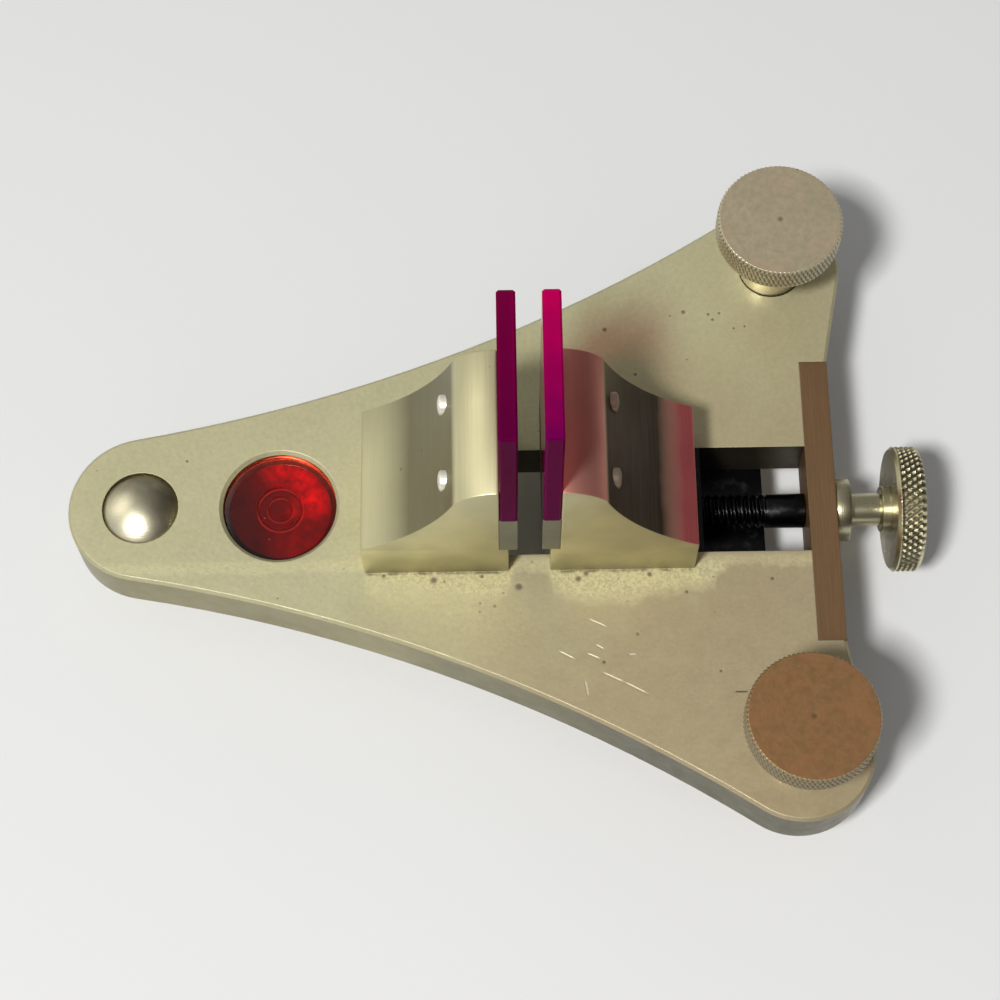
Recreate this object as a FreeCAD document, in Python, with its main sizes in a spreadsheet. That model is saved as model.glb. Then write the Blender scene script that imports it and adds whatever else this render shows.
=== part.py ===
import FreeCAD, Part
import Sketcher
import math
import os
import re

# Poising tool: two upright ruby blades on a levelled base plate.
# Millimetres, +Z up. The nose points to -X, the adjusting knob to +X.
# The origin is on the table, under the middle of the tool's bounding box.

doc = FreeCAD.newDocument("poising_tool")

# Sizes that can be set by themselves
SIZES = [
    # Base plate
    ("plate_length", 75.0, "nose tip to wide edge"),
    ("plate_thickness", 5.5, ""),
    ("nose_radius", 7.5, ""),
    ("flank_radius", 158.0, "hollow side between nose and lobe"),
    ("lobe_radius", 7.0, "round corner under each levelling screw"),
    ("edge_chamfer", 0.3, "worn edge of the plate"),
    ("foot_height", 6.5, "table to the underside of the plate"),
    # Slot and end plate
    ("slot_width", 11.0, ""),
    ("slot_lap", 0.9, "how far the slot reaches under the fixed jaw"),
    ("end_plate_thickness", 2.75, ""),
    ("end_plate_length", 29.4, ""),
    ("end_screw_spacing", 22.0, ""),
    ("end_screw_reach", 6.5, "thread beyond the end plate"),
    # Jaws
    ("gap_station", 44.9, "nose tip to the middle of the blade gap"),
    ("blade_gap", 2.3, "between the rubies as photographed"),
    ("jaw_width", 14.4, ""),
    ("jaw_length", 13.1, "toe to blade"),
    ("jaw_height", 19.2, ""),
    ("toe_height", 6.1, ""),
    ("scoop_radius", 20.0, "hollow back of the jaw"),
    ("crest_radius", 5.0, "rounded top of the jaw"),
    ("crease_run", 4.05, "blade to the crease between hollow and crest"),
    ("step_height", 5.7, "ledge that carries the blade seat"),
    ("step_run", 0.85, "depth of that ledge"),
    ("jaw_screw_setback", 6.3, "blade to the jaw's screws"),
    ("jaw_screw_spacing", 7.4, ""),
    ("jaw_screw_grip", 4.0, "thread inside the jaw"),
    # Blades
    ("blade_thickness", 1.7, ""),
    ("blade_height", 18.1, ""),
    ("blade_chamfer", 0.2, ""),
    ("seat_height", 7.1, "grey seat under the ruby"),
    ("pin_radius", 1.0, ""),
    ("pin_height", 14.5, "above the foot of the jaw"),
    ("pin_spacing", 7.6, ""),
    ("pin_reach", 0.45, "end that stands out of the hollow"),
    # Guide of the sliding jaw
    ("block_overhang", 1.0, "guide block beyond the toe"),
    ("jaw_opening", 6.3, "travel of the jaw from rest towards the knob"),
    ("keeper_margin", 0.25, "wide edge to the keeper plate when fully open"),
    ("keeper_thickness", 1.6, ""),
    ("keeper_side_lap", 2.6, "keeper plate beyond each side of the slot"),
    # Adjusting screw and knob
    ("screw_depth", 3.3, "axis below the top of the plate"),
    ("thread_radius", 1.7, ""),
    ("screw_station", 49.0, "nose tip to the inner end of the screw"),
    ("journal_radius", 1.3, ""),
    ("collar_radius", 3.1, ""),
    ("collar_thickness", 1.5, ""),
    ("neck_radius", 1.6, ""),
    ("neck_length", 4.0, ""),
    ("knob_radius", 6.2, ""),
    ("knob_width", 2.8, ""),
    ("knob_chamfer", 0.45, ""),
    # Levelling screws
    ("stem_spacing", 50.6, "between the two levelling screws"),
    ("stem_setback", 5.0, "wide edge to their axes"),
    ("stem_radius", 3.2, ""),
    ("stem_reach", 7.4, "plate to the head as photographed"),
    ("spigot_radius", 1.9, "end of the stem inside the head"),
    ("spigot_height", 1.9, ""),
    ("head_radius", 6.2, ""),
    ("head_height", 2.8, ""),
    ("head_chamfer", 0.35, ""),
    ("tip_radius", 1.9, "plain end that stands on the table"),
    ("tip_height", 1.5, ""),
    # Nose foot
    ("foot_station", 7.05, "nose tip to the third leg"),
    ("stud_radius", 3.7, "domed head let into the plate"),
    ("stud_recess", 0.3, "its rim below the top of the plate"),
    ("stud_dome", 1.4, "crown above its rim"),
    ("stud_shank_radius", 1.5, ""),
    ("stud_grip", 3.4, "shank inside the foot"),
    # Round level
    ("level_station", 20.65, "nose tip to the middle of the level"),
    ("level_radius", 5.55, "hole in the plate"),
    ("level_chamfer", 0.35, ""),
    ("glass_recess", 0.6, "rim of the glass below the plate"),
    ("glass_thickness", 1.2, ""),
    ("cup_drop", 1.4, "housing below the plate"),
    ("cup_wall", 0.6, ""),
    ("dial_thickness", 0.3, ""),
    ("bubble_radius", 2.1, ""),
    ("bubble_depth", 0.7, ""),
    # Small screws
    ("small_shank_radius", 1.0, ""),
    ("small_head_radius", 1.8, ""),
    ("small_head_height", 1.2, ""),
    # Clearances
    ("slide_clearance", 0.05, "sliding faces"),
    ("running_clearance", 0.05, "turning shafts, on the radius"),
    ("seat_clearance", 0.02, "pieces fixed in a hole or notch"),
    ("bottom_clearance", 0.3, "below the end of a blind fit"),
]

# Sizes and stations that follow from them
DERIVED = [
    ("spindle_reach", "slide_clearance + collar_thickness + neck_length + knob_width"),
    ("nose_x", "-(plate_length + spindle_reach) / 2"),
    ("wide_x", "nose_x + plate_length"),
    ("plate_top", "foot_height + plate_thickness"),
    ("axis_z", "plate_top - screw_depth"),
    ("end_plate_x", "wide_x - end_plate_thickness"),
    ("stem_x", "wide_x - stem_setback"),
    ("foot_x", "nose_x + foot_station"),
    ("level_x", "nose_x + level_station"),
    ("fixed_face_x", "nose_x + gap_station - blade_gap/2 - blade_thickness"),
    ("sliding_face_x", "nose_x + gap_station + blade_gap/2 + blade_thickness"),
    ("sliding_foot_z", "plate_top + slide_clearance"),
    ("slot_x", "fixed_face_x + step_run - slot_lap"),
    ("crease_height", "jaw_height - crest_radius + sqrt(crest_radius^2 - crease_run^2)"),
    ("scoop_run", "jaw_length - crease_run"),
    ("scoop_rise", "crease_height - toe_height"),
    ("scoop_chord", "sqrt(scoop_run^2 + scoop_rise^2)"),
    ("scoop_offset", "sqrt(scoop_radius^2 - scoop_chord^2/4)"),
    ("scoop_x", "-(jaw_length + crease_run)/2 - scoop_rise*scoop_offset/scoop_chord"),
    ("scoop_z", "(toe_height + crease_height)/2 + scoop_run*scoop_offset/scoop_chord"),
    ("pin_face_x", "scoop_x + sqrt(scoop_radius^2 - (pin_height - scoop_z)^2)"),
    ("seat_top", "step_height + seat_height"),
    ("block_length", "jaw_length + block_overhang"),
    ("keeper_length", "wide_x - sliding_face_x - jaw_opening - keeper_margin"),
    ("block_height", "plate_thickness + 2*slide_clearance"),
    ("shoulder_x", "end_plate_x - slide_clearance"),
    ("collar_x", "wide_x + slide_clearance"),
    ("neck_x", "collar_x + collar_thickness"),
    ("knob_x", "neck_x + neck_length"),
    ("knob_end_x", "knob_x + knob_width"),
    ("head_z", "plate_top + stem_reach"),
    ("stud_rim_z", "plate_top - stud_recess"),
    ("glass_z", "plate_top - glass_recess - glass_thickness"),
    ("cup_z", "foot_height - cup_drop"),
    ("cup_bore_radius", "level_radius - seat_clearance - cup_wall"),
]

# Spreadsheet with every size, and a scratch sheet for working out formulas
sheet = doc.addObject("Spreadsheet::Sheet", "Sizes")
scratch = doc.addObject("Spreadsheet::Sheet", "Scratch")
names = set()
row = 0
for name, size, meaning in SIZES:
    row += 1
    sheet.set("A%d" % row, meaning)
    sheet.set("B%d" % row, str(size))
    sheet.setAlias("B%d" % row, name)
    names.add(name)
for name, formula in DERIVED:
    row += 1
    sheet.set("B%d" % row, "=" + formula)
    sheet.setAlias("B%d" % row, name)
    names.add(name)
doc.recompute()


def on_sheet(formula):
    """The formula with the sheet's name before each size."""
    def add_sheet(match):
        return "Sizes." + match.group() if match.group() in names else match.group()
    return re.sub(r"[a-z][a-z_]*", add_sheet, formula)


def number(formula):
    """Value that a formula over the sizes has now."""
    scratch.set("A1", "=" + on_sheet(formula))
    scratch.recompute()
    return float(scratch.get("A1"))


def bind(thing, prop, formula):
    """Tie a property to a formula over the sizes."""
    thing.setExpression(prop, on_sheet(formula))


def new_body(label, x="0", y="0", z="0", turn=0):
    """Body with its own label, placed by formulas and turned about Z."""
    body = doc.addObject("PartDesign::Body", label)
    body.Label = label
    body.Placement = FreeCAD.Placement(FreeCAD.Vector(), FreeCAD.Rotation(FreeCAD.Vector(0, 0, 1), turn))
    for direction, formula in (("x", x), ("y", y), ("z", z)):
        bind(body, "Placement.Base." + direction, formula)
    return body


def origin_part(body, role):
    """Origin plane or axis of a body."""
    return next(item for item in body.Origin.OriginFeatures if item.Role == role)


def new_sketch(body, plane, offset="0"):
    """Empty sketch on an origin plane of the body, lifted off it by a formula."""
    sketch = body.newObject("Sketcher::SketchObject", body.Label + "_sketch")
    sketch.AttachmentSupport = [(origin_part(body, plane), "")]
    sketch.MapMode = "FlatFace"
    bind(sketch, "AttachmentOffset.Base.z", offset)
    return sketch


def constrain(sketch, kind, *parts, formula=None):
    """Add a constraint; with a formula, its last number follows the sheet."""
    if formula is None:
        sketch.addConstraint(Sketcher.Constraint(kind, *parts))
        return
    index = sketch.addConstraint(Sketcher.Constraint(kind, *parts, number(formula)))
    bind(sketch, "Constraints[%d]" % index, formula)


def hold_point(sketch, curve, end, x, y):
    """Place one point of a curve by two formulas."""
    constrain(sketch, "DistanceX", -1, 1, curve, end, formula=x)
    constrain(sketch, "DistanceY", -1, 1, curve, end, formula=y)


def arc_between(start, end, radius, centre_side):
    """Arc of less than half a turn; its centre lies right (+1) or left (-1) of the walk."""
    run, rise = end[0] - start[0], end[1] - start[1]
    chord = math.hypot(run, rise)
    offset = centre_side * math.sqrt(radius**2 - chord**2 / 4)
    centre = FreeCAD.Vector((start[0] + end[0]) / 2 + rise / chord * offset,
                            (start[1] + end[1]) / 2 - run / chord * offset, 0)
    angles = [math.atan2(point[1] - centre.y, point[0] - centre.x) for point in (start, end)]
    if centre_side > 0:
        angles.reverse()
    circle = Part.Circle(centre, FreeCAD.Vector(0, 0, 1), radius)
    return Part.ArcOfCircle(circle, angles[0], angles[1])


def draw_outline(sketch, corners):
    """Closed outline. A corner is (x, y), or (x, y, radius, side) where an arc leads on."""
    points = [(number(corner[0]), number(corner[1])) for corner in corners]
    ends = []
    for i, corner in enumerate(corners):
        start, end = points[i], points[(i + 1) % len(points)]
        if len(corner) == 2:
            line = Part.LineSegment(FreeCAD.Vector(*start, 0), FreeCAD.Vector(*end, 0))
            ends.append((sketch.addGeometry(line), 1, 2))
        else:
            arc = arc_between(start, end, number(corner[2]), corner[3])
            curve = sketch.addGeometry(arc)
            ends.append((curve, 2, 1) if corner[3] > 0 else (curve, 1, 2))
            constrain(sketch, "Radius", curve, formula=corner[2])
    for i, corner in enumerate(corners):
        curve, first, last = ends[i]
        following = ends[(i + 1) % len(ends)]
        constrain(sketch, "Coincident", curve, last, following[0], following[1])
        hold_point(sketch, curve, first, corner[0], corner[1])


def draw_circle(sketch, x, y, radius):
    """Circle placed and sized by formulas."""
    centre = FreeCAD.Vector(number(x), number(y), 0)
    curve = sketch.addGeometry(Part.Circle(centre, FreeCAD.Vector(0, 0, 1), number(radius)))
    hold_point(sketch, curve, 3, x, y)
    constrain(sketch, "Radius", curve, formula=radius)


def rectangle(x_low, x_high, y_low, y_high):
    """Corners of a rectangle for draw_outline."""
    return [(x_low, y_low), (x_low, y_high), (x_high, y_high), (x_high, y_low)]


def pad(body, sketch, length, symmetric=False):
    """Pad upwards from the sketch, or equally to both sides of it."""
    feature = body.newObject("PartDesign::Pad", body.Label + "_pad")
    feature.Profile = sketch
    feature.SideType = "Symmetric" if symmetric else "One side"
    bind(feature, "Length", length)
    doc.recompute()
    return feature


def pocket(body, sketch, depth=None, forward=False):
    """Pocket right through, or to a depth (forward = along the sketch's normal)."""
    volume = body.Shape.Volume
    feature = body.newObject("PartDesign::Pocket", body.Label + "_pocket")
    feature.Profile = sketch
    if depth is None:
        feature.Type = "ThroughAll"
        feature.SideType = "Symmetric"
    else:
        feature.Reversed = forward
        bind(feature, "Length", depth)
    doc.recompute()
    if body.Shape.Volume > volume - 0.01:
        raise RuntimeError("a pocket of %s cuts nothing" % body.Label)
    return feature


def chamfer(body, size, is_wanted):
    """Chamfer every edge of the body's tip that passes the test."""
    base = body.Tip
    edges = ["Edge%d" % (i + 1) for i, edge in enumerate(base.Shape.Edges) if is_wanted(edge)]
    feature = body.newObject("PartDesign::Chamfer", body.Label + "_chamfer")
    feature.Base = (base, edges)
    bind(feature, "Size", size)
    doc.recompute()
    return feature


def pair(body, feature, axis, spacing):
    """Second copy of a feature along an origin axis."""
    pattern = body.newObject("PartDesign::LinearPattern", body.Label + "_pair")
    pattern.Originals = [feature]
    pattern.Direction = (origin_part(body, axis), [""])
    pattern.Occurrences = 2
    bind(pattern, "Length", spacing)
    body.Tip = pattern
    doc.recompute()


def turned(label, axis, profile, x="0", y="0", z="0", turn=0):
    """Body turned about its own X or Z axis from corners (along, radius)."""
    body = new_body(label, x, y, z, turn)
    sketch = new_sketch(body, "XZ_Plane")
    draw_outline(sketch, profile if axis == "X" else [(radius, along) for along, radius in profile])
    feature = body.newObject("PartDesign::Revolution", label + "_turning")
    feature.Profile = sketch
    feature.ReferenceAxis = (sketch, ["H_Axis" if axis == "X" else "V_Axis"])
    feature.Angle = 360
    doc.recompute()
    return body, feature


def small_screw(label, axis, reach, x, y, z, spacing, turn=0):
    """Two cheese-head screws side by side in Y; the head ends at the body's origin."""
    profile = [("0", "0"), ("0", "small_head_radius"),
               ("small_head_height", "small_head_radius"), ("small_head_height", "small_shank_radius"),
               (reach, "small_shank_radius"), (reach, "0")]
    body, feature = turned(label, axis, profile, x, y, z, turn)
    pair(body, feature, "Y_Axis", spacing)
    return body


# Base plate
def draw_plate(sketch):
    """Nose arc, then hollow flank, lobe and slanting edge on both sides, each tangent to the next."""
    nose, flank, lobe = (number(name) for name in ("nose_radius", "flank_radius", "lobe_radius"))
    up = FreeCAD.Vector(0, 0, 1)
    nose_centre = FreeCAD.Vector(number("nose_x") + nose, 0, 0)
    lobe_centre = FreeCAD.Vector(number("stem_x"), number("stem_spacing / 2"), 0)
    corner = FreeCAD.Vector(number("wide_x"), number("end_plate_length / 2"), 0)
    base = lobe_centre - nose_centre
    along = ((flank + nose)**2 - (flank + lobe)**2 + base.Length**2) / (2 * base.Length)
    across = math.sqrt((flank + nose)**2 - along**2)
    unit = FreeCAD.Vector(base).normalize()
    flank_centre = nose_centre + unit * along + FreeCAD.Vector(-unit.y, unit.x, 0) * across
    edge = corner - lobe_centre
    edge_angle = math.atan2(edge.y, edge.x) + math.acos(lobe / edge.Length)
    edge_point = lobe_centre + FreeCAD.Vector(math.cos(edge_angle), math.sin(edge_angle), 0) * lobe

    def angle(centre, point):
        return math.atan2(point.y - centre.y, point.x - centre.x)

    def mirrored(point, side):
        return FreeCAD.Vector(point.x, side * point.y, 0)

    def side_arc(centre, radius, first, last, side):
        """Arc of one side, with the end numbers of its first and last point."""
        angles = (first, last) if side > 0 else (-last, -first)
        circle = Part.Circle(mirrored(centre, side), up, radius)
        curve = sketch.addGeometry(Part.ArcOfCircle(circle, *angles))
        constrain(sketch, "Radius", curve, formula="flank_radius" if radius == flank else "lobe_radius")
        return (curve, 1, 2) if side > 0 else (curve, 2, 1)

    nose_angle = angle(nose_centre, flank_centre)
    nose_arc = sketch.addGeometry(Part.ArcOfCircle(
        Part.Circle(nose_centre, up, nose), nose_angle, 2 * math.pi - nose_angle))
    constrain(sketch, "Radius", nose_arc, formula="nose_radius")
    hold_point(sketch, nose_arc, 3, "nose_x + nose_radius", "0")
    wide = sketch.addGeometry(Part.LineSegment(corner, mirrored(corner, -1)))
    for side, sign in ((1, ""), (-1, "-")):
        flank_arc, flank_near, flank_far = side_arc(
            flank_centre, flank, angle(flank_centre, nose_centre), angle(flank_centre, lobe_centre), side)
        lobe_arc, lobe_far, lobe_near = side_arc(
            lobe_centre, lobe, edge_angle, angle(lobe_centre, flank_centre), side)
        slant = sketch.addGeometry(Part.LineSegment(mirrored(edge_point, side), mirrored(corner, side)))
        constrain(sketch, "Tangent", nose_arc, 1 if side > 0 else 2, flank_arc, flank_near)
        constrain(sketch, "Tangent", flank_arc, flank_far, lobe_arc, lobe_near)
        constrain(sketch, "Tangent", lobe_arc, lobe_far, slant, 1)
        constrain(sketch, "Coincident", slant, 2, wide, 1 if side > 0 else 2)
        hold_point(sketch, lobe_arc, 3, "stem_x", sign + "stem_spacing/2")
        hold_point(sketch, slant, 2, "wide_x", sign + "end_plate_length/2")


plate = new_body("base_plate", z="foot_height")
outline = new_sketch(plate, "XY_Plane")
draw_plate(outline)
pad(plate, outline, "plate_thickness")
chamfer(plate, "edge_chamfer", lambda edge: edge.BoundBox.ZMin > 1e-3 and edge.BoundBox.ZLength < 1e-6)

# Slot and the notch of the end plate, both right through
slot = new_sketch(plate, "XY_Plane")
draw_outline(slot, rectangle("slot_x", "end_plate_x + 1", "-slot_width/2", "slot_width/2"))
pocket(plate, slot)
notch = new_sketch(plate, "XY_Plane")
notch_half = "(end_plate_length/2 + seat_clearance)"
draw_outline(notch, rectangle("end_plate_x", "wide_x + 5", "-" + notch_half, notch_half))
pocket(plate, notch)

# Round holes through the plate
holes = new_sketch(plate, "XY_Plane")
draw_circle(holes, "level_x", "0", "level_radius")
draw_circle(holes, "foot_x", "0", "stud_shank_radius + seat_clearance")
for side in ("-", ""):
    draw_circle(holes, "stem_x", side + "stem_spacing/2", "stem_radius + running_clearance")
    draw_circle(holes, "fixed_face_x - jaw_screw_setback", side + "jaw_screw_spacing/2",
                "small_shank_radius + seat_clearance")
pocket(plate, holes)

# Seat of the domed stud, counterbores under the fixed jaw, tapped holes behind the end plate
stud_seat = new_sketch(plate, "XY_Plane", "plate_thickness")
draw_circle(stud_seat, "foot_x", "0", "stud_radius + seat_clearance")
pocket(plate, stud_seat, "stud_recess + small_head_height")
counterbores = new_sketch(plate, "XY_Plane")
for side in ("-", ""):
    draw_circle(counterbores, "fixed_face_x - jaw_screw_setback", side + "jaw_screw_spacing/2",
                "small_head_radius + seat_clearance")
pocket(plate, counterbores, "small_head_height", forward=True)
tapped = new_sketch(plate, "YZ_Plane", "end_plate_x")
for side in ("-", ""):
    draw_circle(tapped, side + "end_screw_spacing/2", "plate_thickness/2",
                "small_shank_radius + seat_clearance")
pocket(plate, tapped, "end_screw_reach + bottom_clearance")
chamfer(plate, "level_chamfer", lambda edge: edge.BoundBox.ZMin > number("plate_thickness") - 1e-3
        and abs(edge.BoundBox.XLength - 2 * number("level_radius")) < 1e-3)

# End plate with the bearing of the adjusting screw and two counterbored holes
end_plate = new_body("end_plate", x="end_plate_x", z="foot_height")
section = new_sketch(end_plate, "XY_Plane")
draw_outline(section, rectangle("0", "end_plate_thickness", "-end_plate_length/2", "end_plate_length/2"))
pad(end_plate, section, "plate_thickness")
bearing = new_sketch(end_plate, "YZ_Plane")
draw_circle(bearing, "0", "plate_thickness - screw_depth", "journal_radius + running_clearance")
for side in ("-", ""):
    draw_circle(bearing, side + "end_screw_spacing/2", "plate_thickness/2",
                "small_shank_radius + seat_clearance")
pocket(end_plate, bearing)
head_seats = new_sketch(end_plate, "YZ_Plane", "end_plate_thickness")
for side in ("-", ""):
    draw_circle(head_seats, side + "end_screw_spacing/2", "plate_thickness/2",
                "small_head_radius + seat_clearance")
pocket(end_plate, head_seats, "small_head_height")
small_screw("end_plate_screws", "X", "end_plate_thickness + end_screw_reach", "wide_x",
            "end_screw_spacing/2", "foot_height + plate_thickness/2", "end_screw_spacing", turn=180)


# Jaws: the blade's back face is at x = 0 and the toe points to -X
def make_jaw(label, x, z, turn):
    """Scooped block with its ledge, two pin holes and two screw holes."""
    body = new_body(label, x=x, z=z, turn=turn)
    profile = new_sketch(body, "XZ_Plane")
    draw_outline(profile, [
        ("-jaw_length", "0"),
        ("-jaw_length", "toe_height", "scoop_radius", -1),
        ("-crease_run", "crease_height", "crest_radius", 1),
        ("0", "jaw_height"),
        ("0", "step_height"),
        ("step_run", "step_height"),
        ("step_run", "0"),
    ])
    pad(body, profile, "jaw_width", symmetric=True)
    pin_holes = new_sketch(body, "YZ_Plane", "1")
    for side in ("-", ""):
        draw_circle(pin_holes, side + "pin_spacing/2", "pin_height", "pin_radius + seat_clearance")
    pocket(body, pin_holes)
    screw_holes = new_sketch(body, "XY_Plane")
    for side in ("-", ""):
        draw_circle(screw_holes, "-jaw_screw_setback", side + "jaw_screw_spacing/2",
                    "small_shank_radius + seat_clearance")
    pocket(body, screw_holes, "jaw_screw_grip + bottom_clearance", forward=True)


def make_blade(prefix, x, z, turn):
    """Seat, ruby and the two pins of one jaw."""
    half_width = "jaw_width/2"
    seat = new_body(prefix + "_blade_seat", x=x, z=z + " + step_height", turn=turn)
    section = new_sketch(seat, "XY_Plane")
    draw_outline(section, rectangle("0", "blade_thickness", "-" + half_width, half_width))
    pad(seat, section, "seat_height")
    ruby = new_body(prefix + "_blade", x=x, z=z + " + seat_top", turn=turn)
    section = new_sketch(ruby, "XY_Plane")
    draw_outline(section, rectangle("0", "blade_thickness", "-" + half_width, half_width))
    pad(ruby, section, "blade_height")
    chamfer(ruby, "blade_chamfer", lambda edge: edge.BoundBox.ZMax > 1e-3)
    reach = "-pin_face_x + pin_reach"
    pins, pin = turned(prefix + "_blade_pins", "X", [
        ("-(%s)" % reach, "0"),
        ("-(%s)" % reach, "pin_radius"),
        ("0", "pin_radius"),
        ("0", "0"),
    ], x=x, y=("-" if turn == 0 else "") + "pin_spacing/2", z=z + " + pin_height", turn=turn)
    pair(pins, pin, "Y_Axis", "pin_spacing")


make_jaw("fixed_jaw", "fixed_face_x", "plate_top", 0)
make_blade("fixed", "fixed_face_x", "plate_top", 0)
make_jaw("sliding_jaw", "sliding_face_x", "sliding_foot_z", 180)
make_blade("sliding", "sliding_face_x", "sliding_foot_z", 180)
small_screw("fixed_jaw_screws", "Z", "plate_thickness + jaw_screw_grip",
            "fixed_face_x - jaw_screw_setback", "-jaw_screw_spacing/2", "foot_height",
            "jaw_screw_spacing")

# Guide block in the slot, its long hole clears the adjusting screw
block = new_body("guide_block", x="sliding_face_x", z="sliding_foot_z - block_height")
section = new_sketch(block, "XY_Plane")
block_half = "(slot_width/2 - slide_clearance)"
draw_outline(section, rectangle("0", "block_length", "-" + block_half, block_half))
pad(block, section, "block_height")
screw_way = new_sketch(block, "YZ_Plane", "1")
draw_circle(screw_way, "0", "block_height - screw_depth - slide_clearance",
            "thread_radius + running_clearance")
pocket(block, screw_way)
screw_holes = new_sketch(block, "XY_Plane")
for side in ("-", ""):
    draw_circle(screw_holes, "jaw_screw_setback", side + "jaw_screw_spacing/2",
                "small_shank_radius + seat_clearance")
pocket(block, screw_holes)

# Keeper plate under the base plate, held by two screws through the guide block
keeper = new_body("keeper_plate", x="sliding_face_x", z="foot_height - slide_clearance - keeper_thickness")
section = new_sketch(keeper, "XY_Plane")
keeper_half = "(slot_width/2 + keeper_side_lap)"
draw_outline(section, rectangle("0", "keeper_length", "-" + keeper_half, keeper_half))
pad(keeper, section, "keeper_thickness")
screw_holes = new_sketch(keeper, "XY_Plane")
for side in ("-", ""):
    draw_circle(screw_holes, "jaw_screw_setback", side + "jaw_screw_spacing/2",
                "small_shank_radius + seat_clearance")
pocket(keeper, screw_holes)
small_screw("keeper_screws", "Z",
            "small_head_height + keeper_thickness + block_height + jaw_screw_grip",
            "sliding_face_x + jaw_screw_setback", "-jaw_screw_spacing/2",
            "foot_height - slide_clearance - keeper_thickness - small_head_height", "jaw_screw_spacing")

# Adjusting screw, collar and knob, all on one axis
turned("lead_screw", "X", [
    ("nose_x + screw_station", "0"),
    ("nose_x + screw_station", "thread_radius"),
    ("shoulder_x", "thread_radius"),
    ("shoulder_x", "journal_radius"),
    ("knob_end_x", "journal_radius"),
    ("knob_end_x", "0"),
], z="axis_z")
turned("thrust_collar", "X", [
    ("0", "journal_radius + seat_clearance"),
    ("0", "collar_radius"),
    ("collar_thickness", "collar_radius"),
    ("collar_thickness", "journal_radius + seat_clearance"),
], x="collar_x", z="axis_z")
turned("adjusting_knob", "X", [
    ("0", "journal_radius + seat_clearance"),
    ("0", "neck_radius"),
    ("neck_length", "neck_radius"),
    ("neck_length", "knob_radius"),
    ("neck_length + knob_width - knob_chamfer", "knob_radius"),
    ("neck_length + knob_width", "knob_radius - knob_chamfer"),
    ("neck_length + knob_width", "journal_radius + seat_clearance"),
], x="neck_x", z="axis_z")

# Levelling screws: a stem down to the table and a head on its spigot
for label, side in (("front", "-"), ("back", "")):
    turned(label + "_screw_stem", "Z", [
        ("0", "0"),
        ("0", "tip_radius"),
        ("tip_height", "tip_radius"),
        ("tip_height", "stem_radius"),
        ("head_z - slide_clearance", "stem_radius"),
        ("head_z - slide_clearance", "spigot_radius"),
        ("head_z + spigot_height", "spigot_radius"),
        ("head_z + spigot_height", "0"),
    ], x="stem_x", y=side + "stem_spacing/2")
    turned(label + "_screw_head", "Z", [
        ("0", "spigot_radius + running_clearance"),
        ("0", "head_radius"),
        ("head_height - head_chamfer", "head_radius"),
        ("head_height", "head_radius - head_chamfer"),
        ("head_height", "0"),
        ("spigot_height + slide_clearance", "0"),
        ("spigot_height + slide_clearance", "spigot_radius + running_clearance"),
    ], x="stem_x", y=side + "stem_spacing/2", z="head_z")

# Third leg: a foot under the nose, held by the domed stud
turned("nose_foot", "Z", [
    ("0", "0"),
    ("0", "tip_radius"),
    ("tip_height", "tip_radius"),
    ("tip_height", "stem_radius"),
    ("foot_height", "stem_radius"),
    ("foot_height", "stud_shank_radius + seat_clearance"),
    ("foot_height - stud_grip - bottom_clearance", "stud_shank_radius + seat_clearance"),
    ("foot_height - stud_grip - bottom_clearance", "0"),
], x="foot_x")
turned("nose_stud", "Z", [
    # The crown is turned in two cones that follow a dome
    ("foot_height - stud_grip", "0"),
    ("foot_height - stud_grip", "stud_shank_radius"),
    ("stud_rim_z - small_head_height", "stud_shank_radius"),
    ("stud_rim_z - small_head_height", "stud_radius"),
    ("stud_rim_z", "stud_radius"),
    ("stud_rim_z + stud_dome*0.66", "stud_radius*0.6"),
    ("stud_rim_z + stud_dome", "stud_radius*0.15"),
    ("stud_rim_z + stud_dome", "0"),
], x="foot_x")

# Round level: housing, dial, liquid, bubble and glass
turned("level_cup", "Z", [
    ("cup_z", "0"),
    ("cup_z", "level_radius - seat_clearance"),
    ("glass_z", "level_radius - seat_clearance"),
    ("glass_z", "cup_bore_radius"),
    ("cup_z + cup_wall", "cup_bore_radius"),
    ("cup_z + cup_wall", "0"),
], x="level_x")
turned("level_dial", "Z", [
    ("cup_z + cup_wall", "0"),
    ("cup_z + cup_wall", "cup_bore_radius - seat_clearance"),
    ("cup_z + cup_wall + dial_thickness", "cup_bore_radius - seat_clearance"),
    ("cup_z + cup_wall + dial_thickness", "0"),
], x="level_x")
turned("level_liquid", "Z", [
    ("cup_z + cup_wall + dial_thickness", "0"),
    ("cup_z + cup_wall + dial_thickness", "cup_bore_radius - seat_clearance"),
    ("glass_z", "cup_bore_radius - seat_clearance"),
    ("glass_z", "bubble_radius + seat_clearance"),
    ("glass_z - bubble_depth - seat_clearance", "bubble_radius + seat_clearance"),
    ("glass_z - bubble_depth - seat_clearance", "0"),
], x="level_x")
turned("level_bubble", "Z", [
    ("glass_z - bubble_depth", "0"),
    ("glass_z - bubble_depth", "bubble_radius"),
    ("glass_z", "bubble_radius"),
    ("glass_z", "0"),
], x="level_x")
turned("level_glass", "Z", [
    ("glass_z", "0"),
    ("glass_z", "level_radius - seat_clearance"),
    ("glass_z + glass_thickness", "level_radius - seat_clearance"),
    ("glass_z + glass_thickness", "0"),
], x="level_x")

# Every object has to be sound before a file is written
doc.recompute()
for item in doc.Objects:
    if "Invalid" in item.State or "Error" in item.State:
        raise RuntimeError("%s did not compute" % item.Label)
os.makedirs("parts", exist_ok=True)
for body in doc.findObjects("PartDesign::Body"):
    if body.Shape.isNull() or not body.Shape.isValid():
        raise RuntimeError("%s has no valid shape" % body.Label)
    body.Shape.exportStep("parts/%s.step" % body.Label)
    print("%s: %d solids, %.1f mm3" % (body.Label, len(body.Shape.Solids), body.Shape.Volume))
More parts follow.
